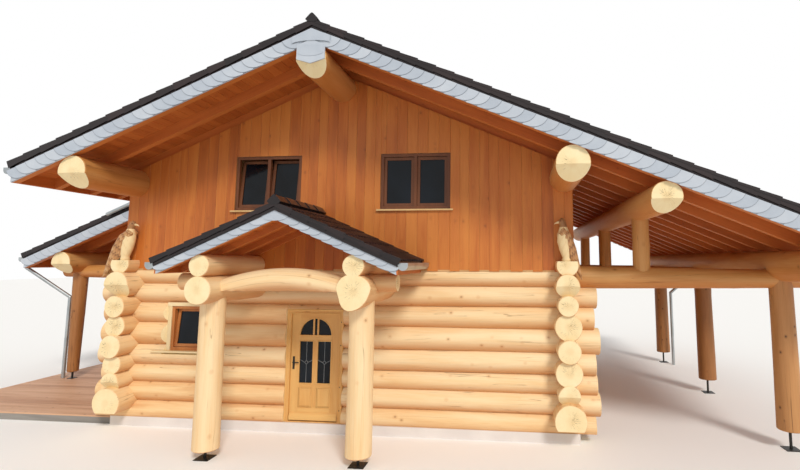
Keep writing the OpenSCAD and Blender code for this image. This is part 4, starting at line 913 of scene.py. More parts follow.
def tileRoofs():
    front, rear = vergeFront - tileOut, vergeRear + tileOut
    top = (0, ridgeZ + tileZ)
    main, outer, over = mainEave, outerEave, tileOut
    terrace = terraceVerge - over
    layer = house["tileLayer"]
    columns = round((rear - front) / tile["width"])
    width = (rear - front) / columns
    eave = house["eaveBoard"]
    tileRoof("tilesRight", "roof_tiles_right", [(1, 0, outer + over, front, rear, columns, (-1, 1))], top,
             house["slope"], layer, [(1, 0, outer + over, front, rear, outer + eave)])
    # the left slope's lowest row reaches over the gutter in front and meets the terrace roof behind
    count = round((main + over) * slant / tile["gauge"])
    upper = (main + over) * (count - 1) / count
    ahead = round((terrace - front) / width)
    middle = front + ahead * width
    tileRoof("tilesLeft", "roof_tiles_left",
             [(-1, 0, upper, front, rear, columns, (-1, 1)), (-1, upper, main + over, front, middle, ahead, (-1,)),
              (-1, upper, main, middle, rear, columns - ahead, (1,))], top, house["slope"], layer,
             [(-1, 0, main, front, rear, None), (-1, main - 0.1, main + over, front, terrace, main + eave)])
    columns = round((rear - terrace) / tile["width"])
    tileRoof("tilesTerrace", "terrace_roof_tiles", [(-1, main, outer + over, terrace, rear, columns, (-1, 1))],
             top, house["slope"], layer, [(-1, main, outer + over, terrace, rear, outer + eave)])
    y0, y1 = frontY - porch["out"] - over, frontY - gableOut
    porchTop = (porch["x"], porch["ridgeZ"] + porch["rafterHeight"] + boarding)
    columns = round((y1 - y0) / tile["width"])
    far = porch["eave"] + over
    tileRoof("porchTiles", "porch_tiles", [(s, 0, far, y0, y1, columns, (-1,)) for s in (-1, 1)], porchTop,
             porch["slope"], porch["tileLayer"], [(s, 0, far, y0, y1, porch["eave"] + eave) for s in (-1, 1)])


# ---- ridge tiles
ridge = {"width": 0.115, "height": 0.105, "step": 0.35, "lap": 0.03}


def ridgeTiles():
    meshes = []
    front, rear = vergeFront - tileOut, vergeRear + tileOut
    runs = [((0, ridgeZ + tileZ + house["tileLayer"]), front, rear, house["slope"]),
            ((porch["x"], porch["ridgeZ"] + porch["rafterHeight"] + boarding + porch["tileLayer"]),
             frontY - porch["out"] - tileOut, frontY - gableOut, porch["slope"])]
    for (x, z), low, high, tilt in runs:
        w, h = ridge["width"], ridge["height"]
        count = round((high - low) / ridge["step"])
        step = (high - low - ridge["lap"]) / count
        length = step + ridge["lap"]
        outline = [(-0.6 * w, -0.6 * w * tilt - 0.03), (0.6 * w, -0.6 * w * tilt - 0.03), (w, h - w * 1.04),
                   (w * 0.9, h - w * 0.86), (0.03, h - 0.02), (0.0, h), (-0.03, h - 0.02), (-w * 0.9, h - w * 0.86),
                   (-w, h - w * 1.04)]
        points = []
        for y, grow in ((0.0, 1.0), (length, 0.9)):
            points += [(u * (grow if v > -0.04 else 1.0), y, v - (1 - grow) * 0.12 if v > 0 else v) for u, v in outline]
        n = len(outline)
        faces = [tuple(range(n)), tuple(range(2 * n - 1, n - 1, -1))]
        faces += [((i + 1) % n, i, i + n, (i + 1) % n + n) for i in range(n)]
        shape = shapeObject("ridgeShape", points, faces)
        matrix = Matrix.Translation((x, low, z))
        meshes.append(field(shape, matrix, 1, count, 1.0, step, tileFinish, turn=0.004, seed=17))
    joinMeshes("ridgeTiles", meshes, (), tileFinish, ["ridge_tiles"], 30)


# ---- slates on the verges
# rim is the width of the painted shadow line along each slate's rounded edge.
slate = {"step": 0.2, "length": 0.34, "height": 0.232, "thick": 0.007, "start": 0.08, "tilt": 0.035, "rim": 0.011,
         "below": 0.012, "from": 0.12}


def slateShape(height, mirrored):
    # Scale with a rounded lower corner; X runs down the verge, Y up, Z outwards. Its rounded rim is marked in edge,
    # where a painted shadow line goes.
    arc = [(slate["start"] + (slate["length"] - slate["start"]) * math.sin(t), height * (1 - math.cos(t)))
           for t in np.linspace(0, math.pi / 2, 9)]
    outline = [(0, height), (0, 0)] + arc
    inner = outline[:2] + [(slate["start"] + (u - slate["start"]) * (1 - slate["rim"] / 0.26),
                            height + (v - height) * (1 - slate["rim"] / height)) for u, v in arc]
    n = len(outline)
    points = []
    for line, z in ((outline, 0.0), (outline, slate["thick"]), (inner, slate["thick"])):
        points += [(u, v, z + slate["tilt"] * u) for u, v in line]
    faces = [tuple(range(n - 1, -1, -1)), tuple(range(2 * n, 3 * n))]
    faces += [(i, (i + 1) % n, (i + 1) % n + n, i + n) for i in range(n)]
    faces += [(i + n, i + 1 + n, i + 1 + 2 * n, i + 2 * n) for i in range(1, n - 1)]
    points = [(-u, v, z) if mirrored else (u, v, z) for u, v, z in points]
    if mirrored:
        faces = [tuple(reversed(f)) for f in faces]
    # Rim points get edge 1, for the painted shadow line.
    edge = [1.0 if 1 < i % n and i < 2 * n else 0.0 for i in range(3 * n)]
    return shapeObject("slateShape", points, faces, edge)


def slateRow(side, facing, x0, z0, tilt, near, far, y, height, seed):
    # Slates down one verge; facing -1 looks to the front and 1 to the rear.
    slope = math.sqrt(1 + tilt ** 2)
    length = (far - near) * slope
    count = round((length - slate["length"]) / slate["step"]) + 1
    step = (length - slate["length"]) / (count - 1)
    angle = math.atan(tilt)
    down = Vector((side * math.cos(angle), 0, -math.sin(angle)))
    normal = Vector((0, facing, 0))
    up = Vector((side * math.sin(angle), 0, math.cos(angle)))
    mirrored = down.cross(up).dot(normal) < 0
    along = -down if mirrored else down
    turn = Matrix((along, up, normal)).transposed().to_4x4()
    place = Vector((x0 + side * near, y, z0 - tilt * near))
    shape = slateShape(height, mirrored)
    matrix = Matrix.Translation(place) @ turn
    return field(shape, matrix, count, 1, -step if mirrored else step, 1.0, slateFinish, turn=0.006, seed=seed)


def plate(outline, y, thick, facing):
    low, high = (y - thick, y) if facing < 0 else (y, y + thick)
    return prism(outline, low, high, "xz")


def vergeBoard(x, z, tilt, side, near, far, high, low, top):
    # Flat board along a verge, under its slates, from y = low to y = top.
    outline = [(x + side * d, z - tilt * d + h) for d, h in ((near, 0), (far, 0), (far, high), (near, high))]
    return (*prism(outline, low, top, "xz"), 0.4)


porchCap = {"below": 0.01, "from": 0.06, "share": 0.93, "half": 0.22, "down": 0.12, "arc": 0.2, "bend": 0.05,
            "proud": 0.012, "thick": 0.008}


def vergeSlates():
    meshes, extra = [], []
    slope, thick, rowZ = house["slope"], house["vergeBoard"], ridgeZ - slate["below"]
    for facing in (-1, 1):
        y = vergeFront - thick if facing < 0 else vergeRear + thick
        for side, far in ((-1, mainEave if facing < 0 else outerEave), (1, outerEave)):
            meshes.append(slateRow(side, facing, 0, rowZ, slope, slate["from"], far, y, slate["height"], 40 + side))
            extra.append(vergeBoard(0, ridgeZ, slope, side, 0, far, tileZ, *sorted((y, y - facing * thick))))
        extra += capSlates(y, facing)
    y = terraceVerge - thick
    near = mainEave + tileOut
    meshes.append(slateRow(-1, -1, 0, rowZ, slope, near, outerEave, y, slate["height"], 47))
    extra.append(vergeBoard(0, ridgeZ, slope, -1, near, outerEave, tileZ, y, y + thick))
    joinMeshes("vergeSlates", meshes, extra, slateFinish, ["verge_boards"], 25)
    meshes, extra = [], []
    y, x, slope = frontY - porch["out"], porch["x"], porch["slope"]
    height = porch["rafterHeight"] + boarding
    for side in (-1, 1):
        meshes.append(slateRow(side, -1, x, porch["ridgeZ"] - porchCap["below"], slope, porchCap["from"], porch["eave"],
                               y, height * porchCap["share"], 51 + side))
        extra.append(vergeBoard(x, porch["ridgeZ"], slope, side, 0, porch["eave"], height, y, y + thick))
    top, wide, low = porch["ridgeZ"] + height, porchCap["half"], porchCap["down"]
    outline = [(x + u, v) for u, v in [(wide, top - wide * slope), (0, top), (-wide, top - wide * slope)]
               + [(porchCap["arc"] * math.sin(t), top - low - porchCap["bend"] * math.cos(t))
                  for t in np.linspace(-1.57, 1.57, 9)]]
    extra.append((*plate(outline, y - porchCap["proud"], porchCap["thick"], -1), 0.6))
    joinMeshes("porchSlates", meshes, extra, slateFinish, ["porch_verge"], 25)


cap = {"thick": 0.007, "half": 0.25, "low": 6.595, "above": 0.035, "rise": 0.72, "slate": 0.9, "slateUp": 0.19,
       "slateBend": 0.06, "crown": 0.34, "crownDown": 0.27, "crownBend": 0.05}


def capSlates(y, facing):
    # Six-sided board before the ridge purlin's end, under two rounded slates.
    thick, half, low, high = cap["thick"], cap["half"], cap["low"], ridgeZ + cap["above"]
    side = half * house["slope"]
    rise = cap["rise"] * side
    board = house["vergeBoard"] - 1.5 * thick
    hexagon = [(0, low), (half, low + rise), (half, high - side), (0, high), (-half, high - side), (-half, low + rise)]
    out = y + facing * board
    wide = half * cap["slate"]
    lower = [(wide * math.sin(t), low + cap["slateUp"] - cap["slateBend"] * math.cos(t))
             for t in np.linspace(-1.5, 1.5, 11)]
    top, crown = ridgeZ + tileZ, cap["crown"]
    arc = [(crown * math.sin(t), top - cap["crownDown"] + cap["crownBend"] * math.cos(t))
           for t in np.linspace(-1.57, 1.57, 13)]
    peak = [(crown, top - crown * house["slope"]), (0, top), (-crown, top - crown * house["slope"])]
    return [(*plate(hexagon, y, board, facing), 0.3),
            (*plate([(wide, high - side), (-wide, high - side)] + lower, out, thick, facing), 0.55),
            (*plate(peak + arc, out + facing * thick * 0.5, thick, facing), 0.7)]


# ---- boards of the gables, the soffits and the deck
board = {"narrow": 0.17, "wide": 0.235, "groove": 0.004, "proud": 0.006, "behind": 0.004, "step": 0.03,
         "gap": 0.0015, "past": 0.15}
gableWindow = {"x": 1.512, "half": 0.695, "low": 4.246, "high": 5.354}


def plank(gather, outline, front, facing, tone, grainShift):
    # Board with chamfered edges; outline in X and Z, its face at y = front.
    centre = np.mean(outline, axis=0)
    inner = [tuple(np.array(p) + (centre - p) * min(1, board["groove"] / max(abs(centre - p)[0], 1e-6)) * [1, 0])
             for p in np.array(outline)]
    n = len(outline)
    points = [(u, front, v) for u, v in inner]
    points += [(u, front - facing * board["groove"], v) for u, v in outline]
    points += [(u, front - facing * (board["proud"] + board["behind"]), v) for u, v in outline]
    faces = [tuple(range(n)), tuple(range(3 * n - 1, 2 * n - 1, -1))]
    for ring in (0, n):
        faces += [(ring + (i + 1) % n, ring + i, ring + i + n, ring + (i + 1) % n + n) for i in range(n)]
    if turnsLeft(outline) != (facing < 0):
        faces = [face[::-1] for face in faces]
    points = np.array(points)
    grain = np.stack([points[:, 2] + grainShift, points[:, 0], points[:, 1]], 1)
    gather.add(points, faces, [0] * len(faces), grain, tone)


def gableBoards(facing, name):
    chance = np.random.default_rng(207 + facing)
    gather = Gather()
    half = halfWidth + board["past"]
    y = frontY - gableOut if facing < 0 else rearY + gableOut
    face = y + facing * board["proud"]
    wallTop = jointZ(topCourse + 1)
    edges = [-half]
    while edges[-1] < half - 0.3:
        edges.append(edges[-1] + chance.uniform(board["narrow"], board["wide"]))
    edges[-1] = half if half - edges[-1] < 0.12 else edges[-1]
    if edges[-1] < half:
        edges.append(half)
    holes = [tuple(s * gableWindow["x"] + t * gableWindow["half"] for t in (-1, 1)) for s in (-1, 1)]
    for i, (a, b) in enumerate(zip(edges, edges[1:])):
        low = wallTop - 0.05 + (board["step"] if i % 2 else 0.0)
        cuts = sorted({a, b, *[h for pair in holes for h in pair if a < h < b]})
        tone = chance.uniform(0, 1)
        shift = chance.uniform(0, 40)
        for c, d in zip(cuts, cuts[1:]):
            left, right = c + board["gap"] * (c == a), d - board["gap"] * (d == b)
            middle = (c + d) / 2
            inHole = any(h[0] < middle < h[1] for h in holes)
            spans = [(low, gableWindow["low"]), (gableWindow["high"], None)] if inHole else [(low, None)]
            for base, top in spans:
                if top is None:
                    crown = [(right, roofZ(right)), (left, roofZ(left))]
                    if left < 0 < right:
                        crown.insert(1, (0, roofZ(0)))
                else:
                    crown = [(right, top), (left, top)]
                if crown[0][1] <= base + 0.02:
                    continue
                plank(gather, [(left, base), (right, base)] + crown, face, facing, tone, shift)
    gather.piece(name, [boardWood], "house", "board_wood", angle=20)


def kneeBoards():
    # The same boards on the knee walls under the wall purlins, turned to face left and right.
    chance = np.random.default_rng(215)
    face = halfWidth + board["past"] + board["proud"]
    high = purlinZ(halfWidth, purlin["radii"][1]) - 0.22
    end = rearY + gableOut
    gather = Gather()
    for side, node in ((-1, "left_knee_wall"), (1, "right_knee_wall")):
        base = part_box(node)[0].z - 0.04
        wall = Gather()
        y, count = frontY - gableOut, 0
        while y < end:
            far = y + chance.uniform(board["narrow"], board["wide"])
            far = end if end - far < 0.1 else far
            left, right = sorted((side * y, side * far))
            low = base + (board["step"] if count % 2 else 0.0)
            left, right = left + board["gap"], right - board["gap"]
            outline = [(left, low), (right, low), (right, high), (left, high)]
            plank(wall, outline, -face, -1, chance.uniform(0, 1), chance.uniform(0, 40))
            y, count = far, count + 1
        points = np.concatenate(wall.points)
        turned = np.stack([-side * points[:, 1], side * points[:, 0], points[:, 2]], 1)
        gather.add(turned, wall.faces, wall.kinds, np.concatenate(wall.grain), np.concatenate(wall.tone))
    gather.piece("kneeBoards", [boardWood], "house", "board_wood", angle=20)


soffitBoard = {"width": 0.165, "chamfer": 0.005, "gap": 0.001}


def soffitShape(width, thick, length):
    # Board along X with its chamfered face down; Y is its width.
    c, wide = soffitBoard["chamfer"], width - soffitBoard["gap"]
    outline = [(0.0, c), (c, 0.0), (width - c - soffitBoard["gap"], 0.0), (wide, c), (wide, thick), (0.0, thick)]
    return shapeObject("soffitShape", *prism(outline, 0, length, "yz"))


def soffits():
    front, rear = vergeFront, vergeRear
    main, outer = mainEave, outerEave
    top = (0, ridgeZ + house["rafterHeight"])
    rows = [("soffitLeft", "roof_boards_left", [(-1, 0, main, front, rear, top, house["slope"])]),
            ("soffitRight", "roof_boards_right", [(1, 0, outer, front, rear, top, house["slope"])]),
            ("soffitTerrace", "terrace_roof_boards", [(-1, main, outer, terraceVerge, rear, top, house["slope"])])]
    y0, y1 = frontY - porch["out"] + house["vergeBoard"], frontY - gableOut
    porchTop = (porch["x"], porch["ridgeZ"] + porch["rafterHeight"])
    rows.append(("soffitPorch", "porch_boards", [(s, 0, porch["eave"], y0, y1, porchTop, porch["slope"])
                                                for s in (-1, 1)]))
    for name, node, parts in rows:
        meshes = []
        for side, near, far, low, high, peak, tilt in parts:
            length = (far - near) * math.sqrt(1 + tilt ** 2)
            count = round(length / soffitBoard["width"])
            width = length / count
            shape = soffitShape(width, boarding / math.sqrt(1 + tilt ** 2), high - low)
            matrix = slopeMatrix(side, peak, tilt, high if side < 0 else low, far, 0.0)
            meshes.append(field(shape, matrix, 1, count, 1.0, width, soffitBoards, seed=61 + side))
        joinMeshes(name, meshes, (), soffitBoards, [node], 20)


deckBoard = {"width": 0.145, "left": 0.0015, "right": 0.0025, "chamfer": 0.004}


def deckBoards():
    low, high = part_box("terrace_deck")
    count = round((high.y - low.y) / deckBoard["width"])
    width = (high.y - low.y) / count
    thick, c = high.z - low.z, deckBoard["chamfer"]
    left, right = deckBoard["left"], width - deckBoard["right"]
    outline = [(left, 0), (right, 0), (right, thick - c), (right - c, thick), (left + c, thick), (left, thick - c)]
    shape = shapeObject("deckShape", *prism(outline, 0, high.x - low.x, "yz"))
    mesh = field(shape, Matrix.Translation(low), 1, count, 1.0, width, deckWood, seed=71)
    joinMeshes("deckBoards", [mesh], (), deckWood, ["terrace_deck"], 20)


# ---- casings of the windows in the log walls, brackets of the gutters
casing = {"wide": 0.078, "over": 0.012, "thick": 0.022, "head": 0.06, "ledge": (-0.79, 0.52), "ledgeOut": 0.1}


def boardBox(gather, low, high, tone, edge=0.003):
    # Board with its long edges eased; its grain runs along its longest side.
    low, high = np.array(low, float), np.array(high, float)
    size = high - low
    long = int(np.argmax(size))
    a, b = [i for i in range(3) if i != long]
    profile = [(edge, 0), (size[a] - edge, 0), (size[a], edge), (size[a], size[b] - edge), (size[a] - edge, size[b]),
               (edge, size[b]), (0, size[b] - edge), (0, edge)]
    points, faces = prism([(u + low[a], v + low[b]) for u, v in profile], low[long], high[long], "xyz"[a] + "xyz"[b])
    shift = 7.3 * tone + low[a]
    grain = np.stack([points[:, long] + shift, points[:, a] * 1.0, points[:, b] + shift], 1)
    gather.add(points, faces, [0] * len(faces), grain, tone)


def windowCasings():
    gather = Gather()
    places = [(0, (window["frontX"], frontY, 0))]
    places += [(math.pi, (s * window["rearX"], rearY, 0)) for s in (-1, 1)]
    places += [(s * math.pi / 2, (s * halfWidth, midY + t * window["sideY"], 0)) for s in (-1, 1)
               for t in (-1, 1)]
    flat = house["planeIn"] - crossRadius(4)
    half, low, high = window["width"] / 2, window["low"], window["high"]
    inner, outer = half - casing["over"], half - casing["over"] + casing["wide"]
    for number, (turn, place) in enumerate(places):
        local = Gather()
        y0, y1 = flat - casing["thick"], flat + 0.012
        for s in (-1, 1):
            boardBox(local, (min(s * inner, s * outer), y0, low - 0.02), (max(s * inner, s * outer), y1, high + 0.012),
                     0.2 + 0.1 * s)
        boardBox(local, (-outer - 0.01, y0 - 0.006, high - 0.012), (outer + 0.01, y1, high + casing["head"]), 0.35)
        if number == 0:
            boardBox(local, (casing["ledge"][0], flat - casing["ledgeOut"], low - 0.034),
                     (casing["ledge"][1], flat + 0.03, low - 0.004), 0.1)
        matrix = np.array(Matrix.Translation(place) @ Matrix.Rotation(turn, 4, "Z"))
        points = np.concatenate(local.points) @ matrix[:3, :3].T + matrix[:3, 3]
        gather.add(points, local.faces, local.kinds, np.concatenate(local.grain) + number, 0.2)
    gather.piece("windowCasings", [caseWood], "house", "sill_wood", angle=20)


def strap(path, y, width, thick):
    # Thin band along a path in X and Z; its faces point inwards where thick is above 0.
    n = len(path)
    line = np.array(path, float)
    along = np.gradient(line, axis=0)
    side = np.stack([along[:, 1], -along[:, 0]], 1) / np.linalg.norm(along, axis=1)[:, None]
    points = [(u, yy, v) for yy in (y - width / 2, y + width / 2) for lineAt in (line, line + side * thick)
              for u, v in lineAt]
    faces = []
    for i in range(n - 1):
        corners = [0, n, 3 * n, 2 * n]
        for a, b in zip(corners, corners[1:] + corners[:1]):
            faces.append((i + a, i + 1 + a, i + 1 + b, i + b))
    faces += [(0, n, 3 * n, 2 * n), (n - 1, 3 * n - 1, 4 * n - 1, 2 * n - 1)]
    return points, faces


bracket = {"pitch": 0.8, "width": 0.025, "thick": 0.003, "radius": 0.0815, "wall": 0.04, "offset": 0.1037, "end": 0.12}


def gutterBrackets():
    front, rear = vergeFront, vergeRear
    rows = []
    for x, low, high in ((-mainEave, front, terraceVerge - 0.2), (-outerEave, terraceVerge, rear),
                         (outerEave, front, rear)):
        side = math.copysign(1, x)
        rim = roofZ(abs(x) + tileOut) + tileZ + house["tileLayer"] - house["tileLip"] - 0.045
        rows.append((x + side * bracket["offset"], rim, low, high, side))
    lip = porchZ(porch["x"] + porch["eave"] + tileOut) + porch["rafterHeight"] + boarding \
        + porch["tileLayer"] - house["tileLip"] - 0.012
    for side in (-1, 1):
        rows.append((porch["x"] + side * (porch["eave"] + bracket["offset"]), lip, frontY - porch["out"],
                     frontY - 0.35, side))
    extra = []
    for x, rim, low, high, side in rows:
        count = max(2, round((high - low) / bracket["pitch"]))
        r = bracket["radius"]
        turns = np.linspace(0, math.pi, 13)
        path = [(x + side * (r - 0.02), rim - 0.004), (x + side * r, rim - 0.002)]
        path += [(x + side * r * math.cos(t), rim - bracket["wall"] - r * math.sin(t)) for t in turns]
        path += [(x - side * r, rim + 0.012)]
        for i in range(count):
            y = low + bracket["end"] + (high - low - 2 * bracket["end"]) * i / (count - 1)
            extra.append((*strap(path, y, bracket["width"], side * bracket["thick"]), 0.5))
    joinMeshes("gutterBrackets", [], extra, zinc, [], 30)


# ---- front door
leaf = {"x": (-0.933, 0.063), "y": (-3.674, -3.618), "z": (0.205, 2.226), "mullion": 0.1, "pane": 0.264,
        "paneZ": (0.89, 1.68), "fanZ": 1.8, "fanRadius": 0.315, "panelZ": (0.44, 0.8), "bead": 0.016, "bar": 0.34,
        "barFoot": 0.21, "barEnd": 0.026, "lead": 0.0035, "leadY": (-3.6545, -3.649), "diamond": 0.036,
        "fanBar": (0.042, 0.016)}
glassBead = [(-0.001, -0.022), (-0.001, 0.004), (0.004, 0.008), (0.011, 0.008), (0.016, 0.004), (0.018, -0.001)]
panelBead = [(-0.034, 0.003), (-0.031, 0.003), (-0.012, -0.008), (0.0, -0.008), (0.0, 0.002), (0.004, 0.006),
             (0.010, 0.006), (0.015, 0.001), (0.016, -0.001)]
outerBead = [(-0.030, -0.001), (-0.028, 0.008), (-0.018, 0.014), (-0.008, 0.014), (-0.002, 0.006), (-0.001, -0.001)]
innerBead = [(0.002, -0.001), (0.004, 0.007), (0.010, 0.010), (0.018, 0.007), (0.022, -0.001)]


def moulding(gather, outline, profile, y, out, tone, skip=(), fill=False):
    # Strip with mitred corners round an outline in X and Z that turns left as seen from the front.
    # profile holds (away from the outline, proud of the face at y); out is 1 for the front and -1 for the rear.
    line = np.array(outline, float)
    n = len(line)
    step = np.roll(line, -1, 0) - line
    step /= np.linalg.norm(step, axis=1)[:, None]
    side = np.stack([step[:, 1], -step[:, 0]], 1)
    before = np.roll(side, 1, 0)
    mitre = (side + before) / (1 + (side * before).sum(1))[:, None]
    points, faces = [], []
    for away, proud in profile:
        points += [(u, y - out * proud, v) for u, v in line + mitre * away]
    for j in range(len(profile) - 1):
        for i in range(n):
            if i in skip:
                continue
            k = (i + 1) % n
            faces.append((j * n + i, (j + 1) * n + i, (j + 1) * n + k, j * n + k))
    if fill:
        faces.append(tuple(range(n)))
    if out < 0:
        faces = [tuple(reversed(f)) for f in faces]
    points = np.array(points)
    grain = np.stack([points[:, 2] + 3 * tone, points[:, 0], points[:, 1]], 1)
    gather.add(points, faces, [0] * len(faces), grain, tone)


def slab(gather, outline, along, tone, kind=0, y=None):
    # Board of the leaf's thickness, grain along x or z.
    points, faces = prism(outline, *(y or leaf["y"]), "xz")
    a, b = (2, 0) if along == "z" else (0, 2)
    grain = np.stack([points[:, a] + 9 * tone, points[:, b], points[:, 1]], 1)
    gather.add(points, faces, [kind] * len(faces), grain, tone)


def rectangle(x0, x1, z0, z1):
    return [(x0, z0), (x1, z0), (x1, z1), (x0, z1)]


def came(gather, start, end):
    # Strip of lead between two points on the glass.
    a, b = np.array(start), np.array(end)
    side = np.array([-(b - a)[1], (b - a)[0]]) / np.linalg.norm(b - a) * leaf["lead"]
    slab(gather, [tuple(a - side), tuple(b - side), tuple(b + side), tuple(a + side)], "z", 0.5, 1, leaf["leadY"])


def doorLeaf():
    gather = Gather()
    x0, x1 = leaf["x"]
    z0, z1 = leaf["z"]
    low, high = leaf["paneZ"]
    panelLow, panelHigh = leaf["panelZ"]
    half = leaf["mullion"] / 2
    left, right = door["x"] - half - leaf["pane"], door["x"] + half + leaf["pane"]
    slab(gather, rectangle(x0, left, z0, z1), "z", 0.3)
    slab(gather, rectangle(right, x1, z0, z1), "z", 0.45)
    slab(gather, rectangle(left, right, z0, panelLow), "x", 0.35)
    slab(gather, rectangle(left, right, panelHigh, low), "x", 0.5)
    slab(gather, rectangle(left, right, high, leaf["fanZ"]), "x", 0.4)
    for a, b in ((panelLow, panelHigh), (low, high)):
        slab(gather, rectangle(door["x"] - half, door["x"] + half, a, b), "z", 0.38)
    fan = [(door["x"] - leaf["fanRadius"] * math.cos(t), leaf["fanZ"] + leaf["fanRadius"] * math.sin(t))
           for t in np.linspace(0, math.pi, 33)]
    slab(gather, [(left, z1)] + [(max(left, min(right, u)), v) for u, v in fan] + [(right, z1)], "x", 0.42)
    y0, y1 = leaf["y"]
    for s in (-1, 1):
        centre = door["x"] + s * (half + leaf["pane"] / 2)
        wide = leaf["pane"] / 2
        for out, y in ((1, y0), (-1, y1)):
            moulding(gather, rectangle(centre - wide, centre + wide, low, high), glassBead, y, out, 0.3)
            moulding(gather, rectangle(centre - wide, centre + wide, panelLow, panelHigh), panelBead, y, out, 0.42,
                     fill=True)
        d = leaf["diamond"]
        z = (low + high) / 2 - 0.01
        corners = [(centre + d, z), (centre, z + d), (centre - d, z), (centre, z - d)]
        for a, b in zip(corners, corners[1:] + corners[:1]):
            came(gather, a, b)
        came(gather, (centre, z + d), (centre, high))
        came(gather, (centre, low), (centre, z - d))
        for t in (-1, 1):
            came(gather, (centre + t * d, z), (centre + t * wide, z + 0.05))
        place, thick = leaf["fanBar"]
        top = leaf["fanZ"] + leaf["fanRadius"] - 0.004
        for y in ((y0 - 0.004, y0 + 0.02), (y1 - 0.02, y1 + 0.004)):
            slab(gather, rectangle(door["x"] + s * place - thick, door["x"] + s * place + thick, leaf["fanZ"], top),
                 "z", 0.2, 0, y)
    for out, y in ((1, y0), (-1, y1)):
        moulding(gather, fan[::-1], glassBead, y, out, 0.3)
    a, b = y0 - 0.008, y0 - 3 * leaf["bead"]
    bar, foot = leaf["bar"], leaf["barFoot"]
    outline = [(y0 + 0.002, bar), (a, bar), (a - 0.006, bar - 0.012), (b + 0.008, bar - 0.046), (b, bar - 0.056),
               (b, foot + 0.006), (b + 0.006, foot), (y0 + 0.002, foot)]
    points, faces = prism(outline, x0 + leaf["barEnd"], x1 - leaf["barEnd"], "yz")
    gather.add(points, faces, [0] * len(faces), points, 0.25)
    gather.piece("doorLeaf", [doorBoards, leadMetal], "door", "door_wood", ["door_leaf"], 25)


doorFrame = {"inset": 0.088, "out": 0.15, "bolts": (0.41, 0.84, 1.62, 2.06), "boltIn": 0.046, "boltRadius": 0.009}


def doorMouldings():
    # Beads on the frame's face, and the caps of its bolts.
    gather = Gather()
    x0, x1 = door["x"] - door["width"] / 2, door["x"] + door["width"] / 2
    inset, r = doorFrame["inset"], doorFrame["boltRadius"]
    y = frontY - doorFrame["out"]
    moulding(gather, rectangle(x0, x1, plinthTop, door["top"]), outerBead, y, 1, 0.3, skip=(0,))
    moulding(gather, rectangle(x0 + inset, x1 - inset, plinthTop, door["top"] - inset), innerBead, y, 1, 0.4,
             skip=(0,))
    for z in doorFrame["bolts"]:
        ring = [(x1 - doorFrame["boltIn"] + r * math.cos(t), z + r * math.sin(t))
                for t in np.linspace(0, 2 * math.pi, 13)[:-1]]
        slab(gather, ring, "z", 0.5, 1, (y - 0.005, y + 0.002))
    gather.piece("doorMouldings", [doorBoards, darkMetal], "house", "door_wood", angle=25)


# ---- carved birds on the corners' top logs
bird = {"perchZ": 3.245, "perchY": -3.9425, "lean": {-1: 0.11, 1: 0.06}, "spread": {-1: 1.0, 1: 0.65}, "segments": 22,
        "sections": [(0.0, 0.0, 0.078, 0.08), (0.03, 0.0, 0.088, 0.088), (0.06, 0.0, 0.072, 0.078),
                     (0.12, 0.0, 0.09, 0.088), (0.22, 0.01, 0.112, 0.1), (0.35, 0.02, 0.125, 0.104),
                     (0.48, 0.02, 0.115, 0.1), (0.57, 0.01, 0.088, 0.083), (0.63, 0.004, 0.066, 0.064),
                     (0.68, 0.01, 0.068, 0.061), (0.725, 0.016, 0.068, 0.058), (0.765, 0.01, 0.052, 0.045),
                     (0.79, 0.004, 0.028, 0.025), (0.8, 0.0, 0.006, 0.006)],
        "beak": [(0.045, 0.0, 0.024, 0.027), (0.08, -0.002, 0.02, 0.022), (0.11, -0.01, 0.013, 0.016),
                 (0.135, -0.024, 0.008, 0.01), (0.146, -0.044, 0.002, 0.003)],
        "wingTop": [(0.0, 0.0, 0.62), (0.25, -0.16, 0.5), (0.5, -0.28, 0.24), (0.75, -0.36, -0.06),
                    (1.0, -0.425, -0.334)],
        "wingUnder": [(0.0, 0.1, 0.54), (0.25, 0.07, 0.32), (0.5, -0.04, 0.1), (0.75, -0.2, -0.08),
                      (1.0, -0.385, -0.325)],
        "feathers": 8.0}


def loft(gather, rings, mirror, tone, place):
    # Closed skin over rings of points; mirror turns it over in X.
    rings = np.array(rings, float)
    n = rings.shape[1]
    points = rings.reshape(-1, 3)
    faces = [(i * n + j, i * n + (j + 1) % n, (i + 1) * n + (j + 1) % n, (i + 1) * n + j)
             for i in range(len(rings) - 1) for j in range(n)]
    faces += [tuple(range(n - 1, -1, -1)), tuple(range(len(points) - n, len(points)))]
    grain = np.stack([points[:, 2], points[:, 0], points[:, 1]], 1)
    if mirror < 0:
        points = points * [-1, 1, 1]
        faces = [tuple(reversed(f)) for f in faces]
    gather.add(points + np.array(place), faces, [0] * len(faces), grain, tone)


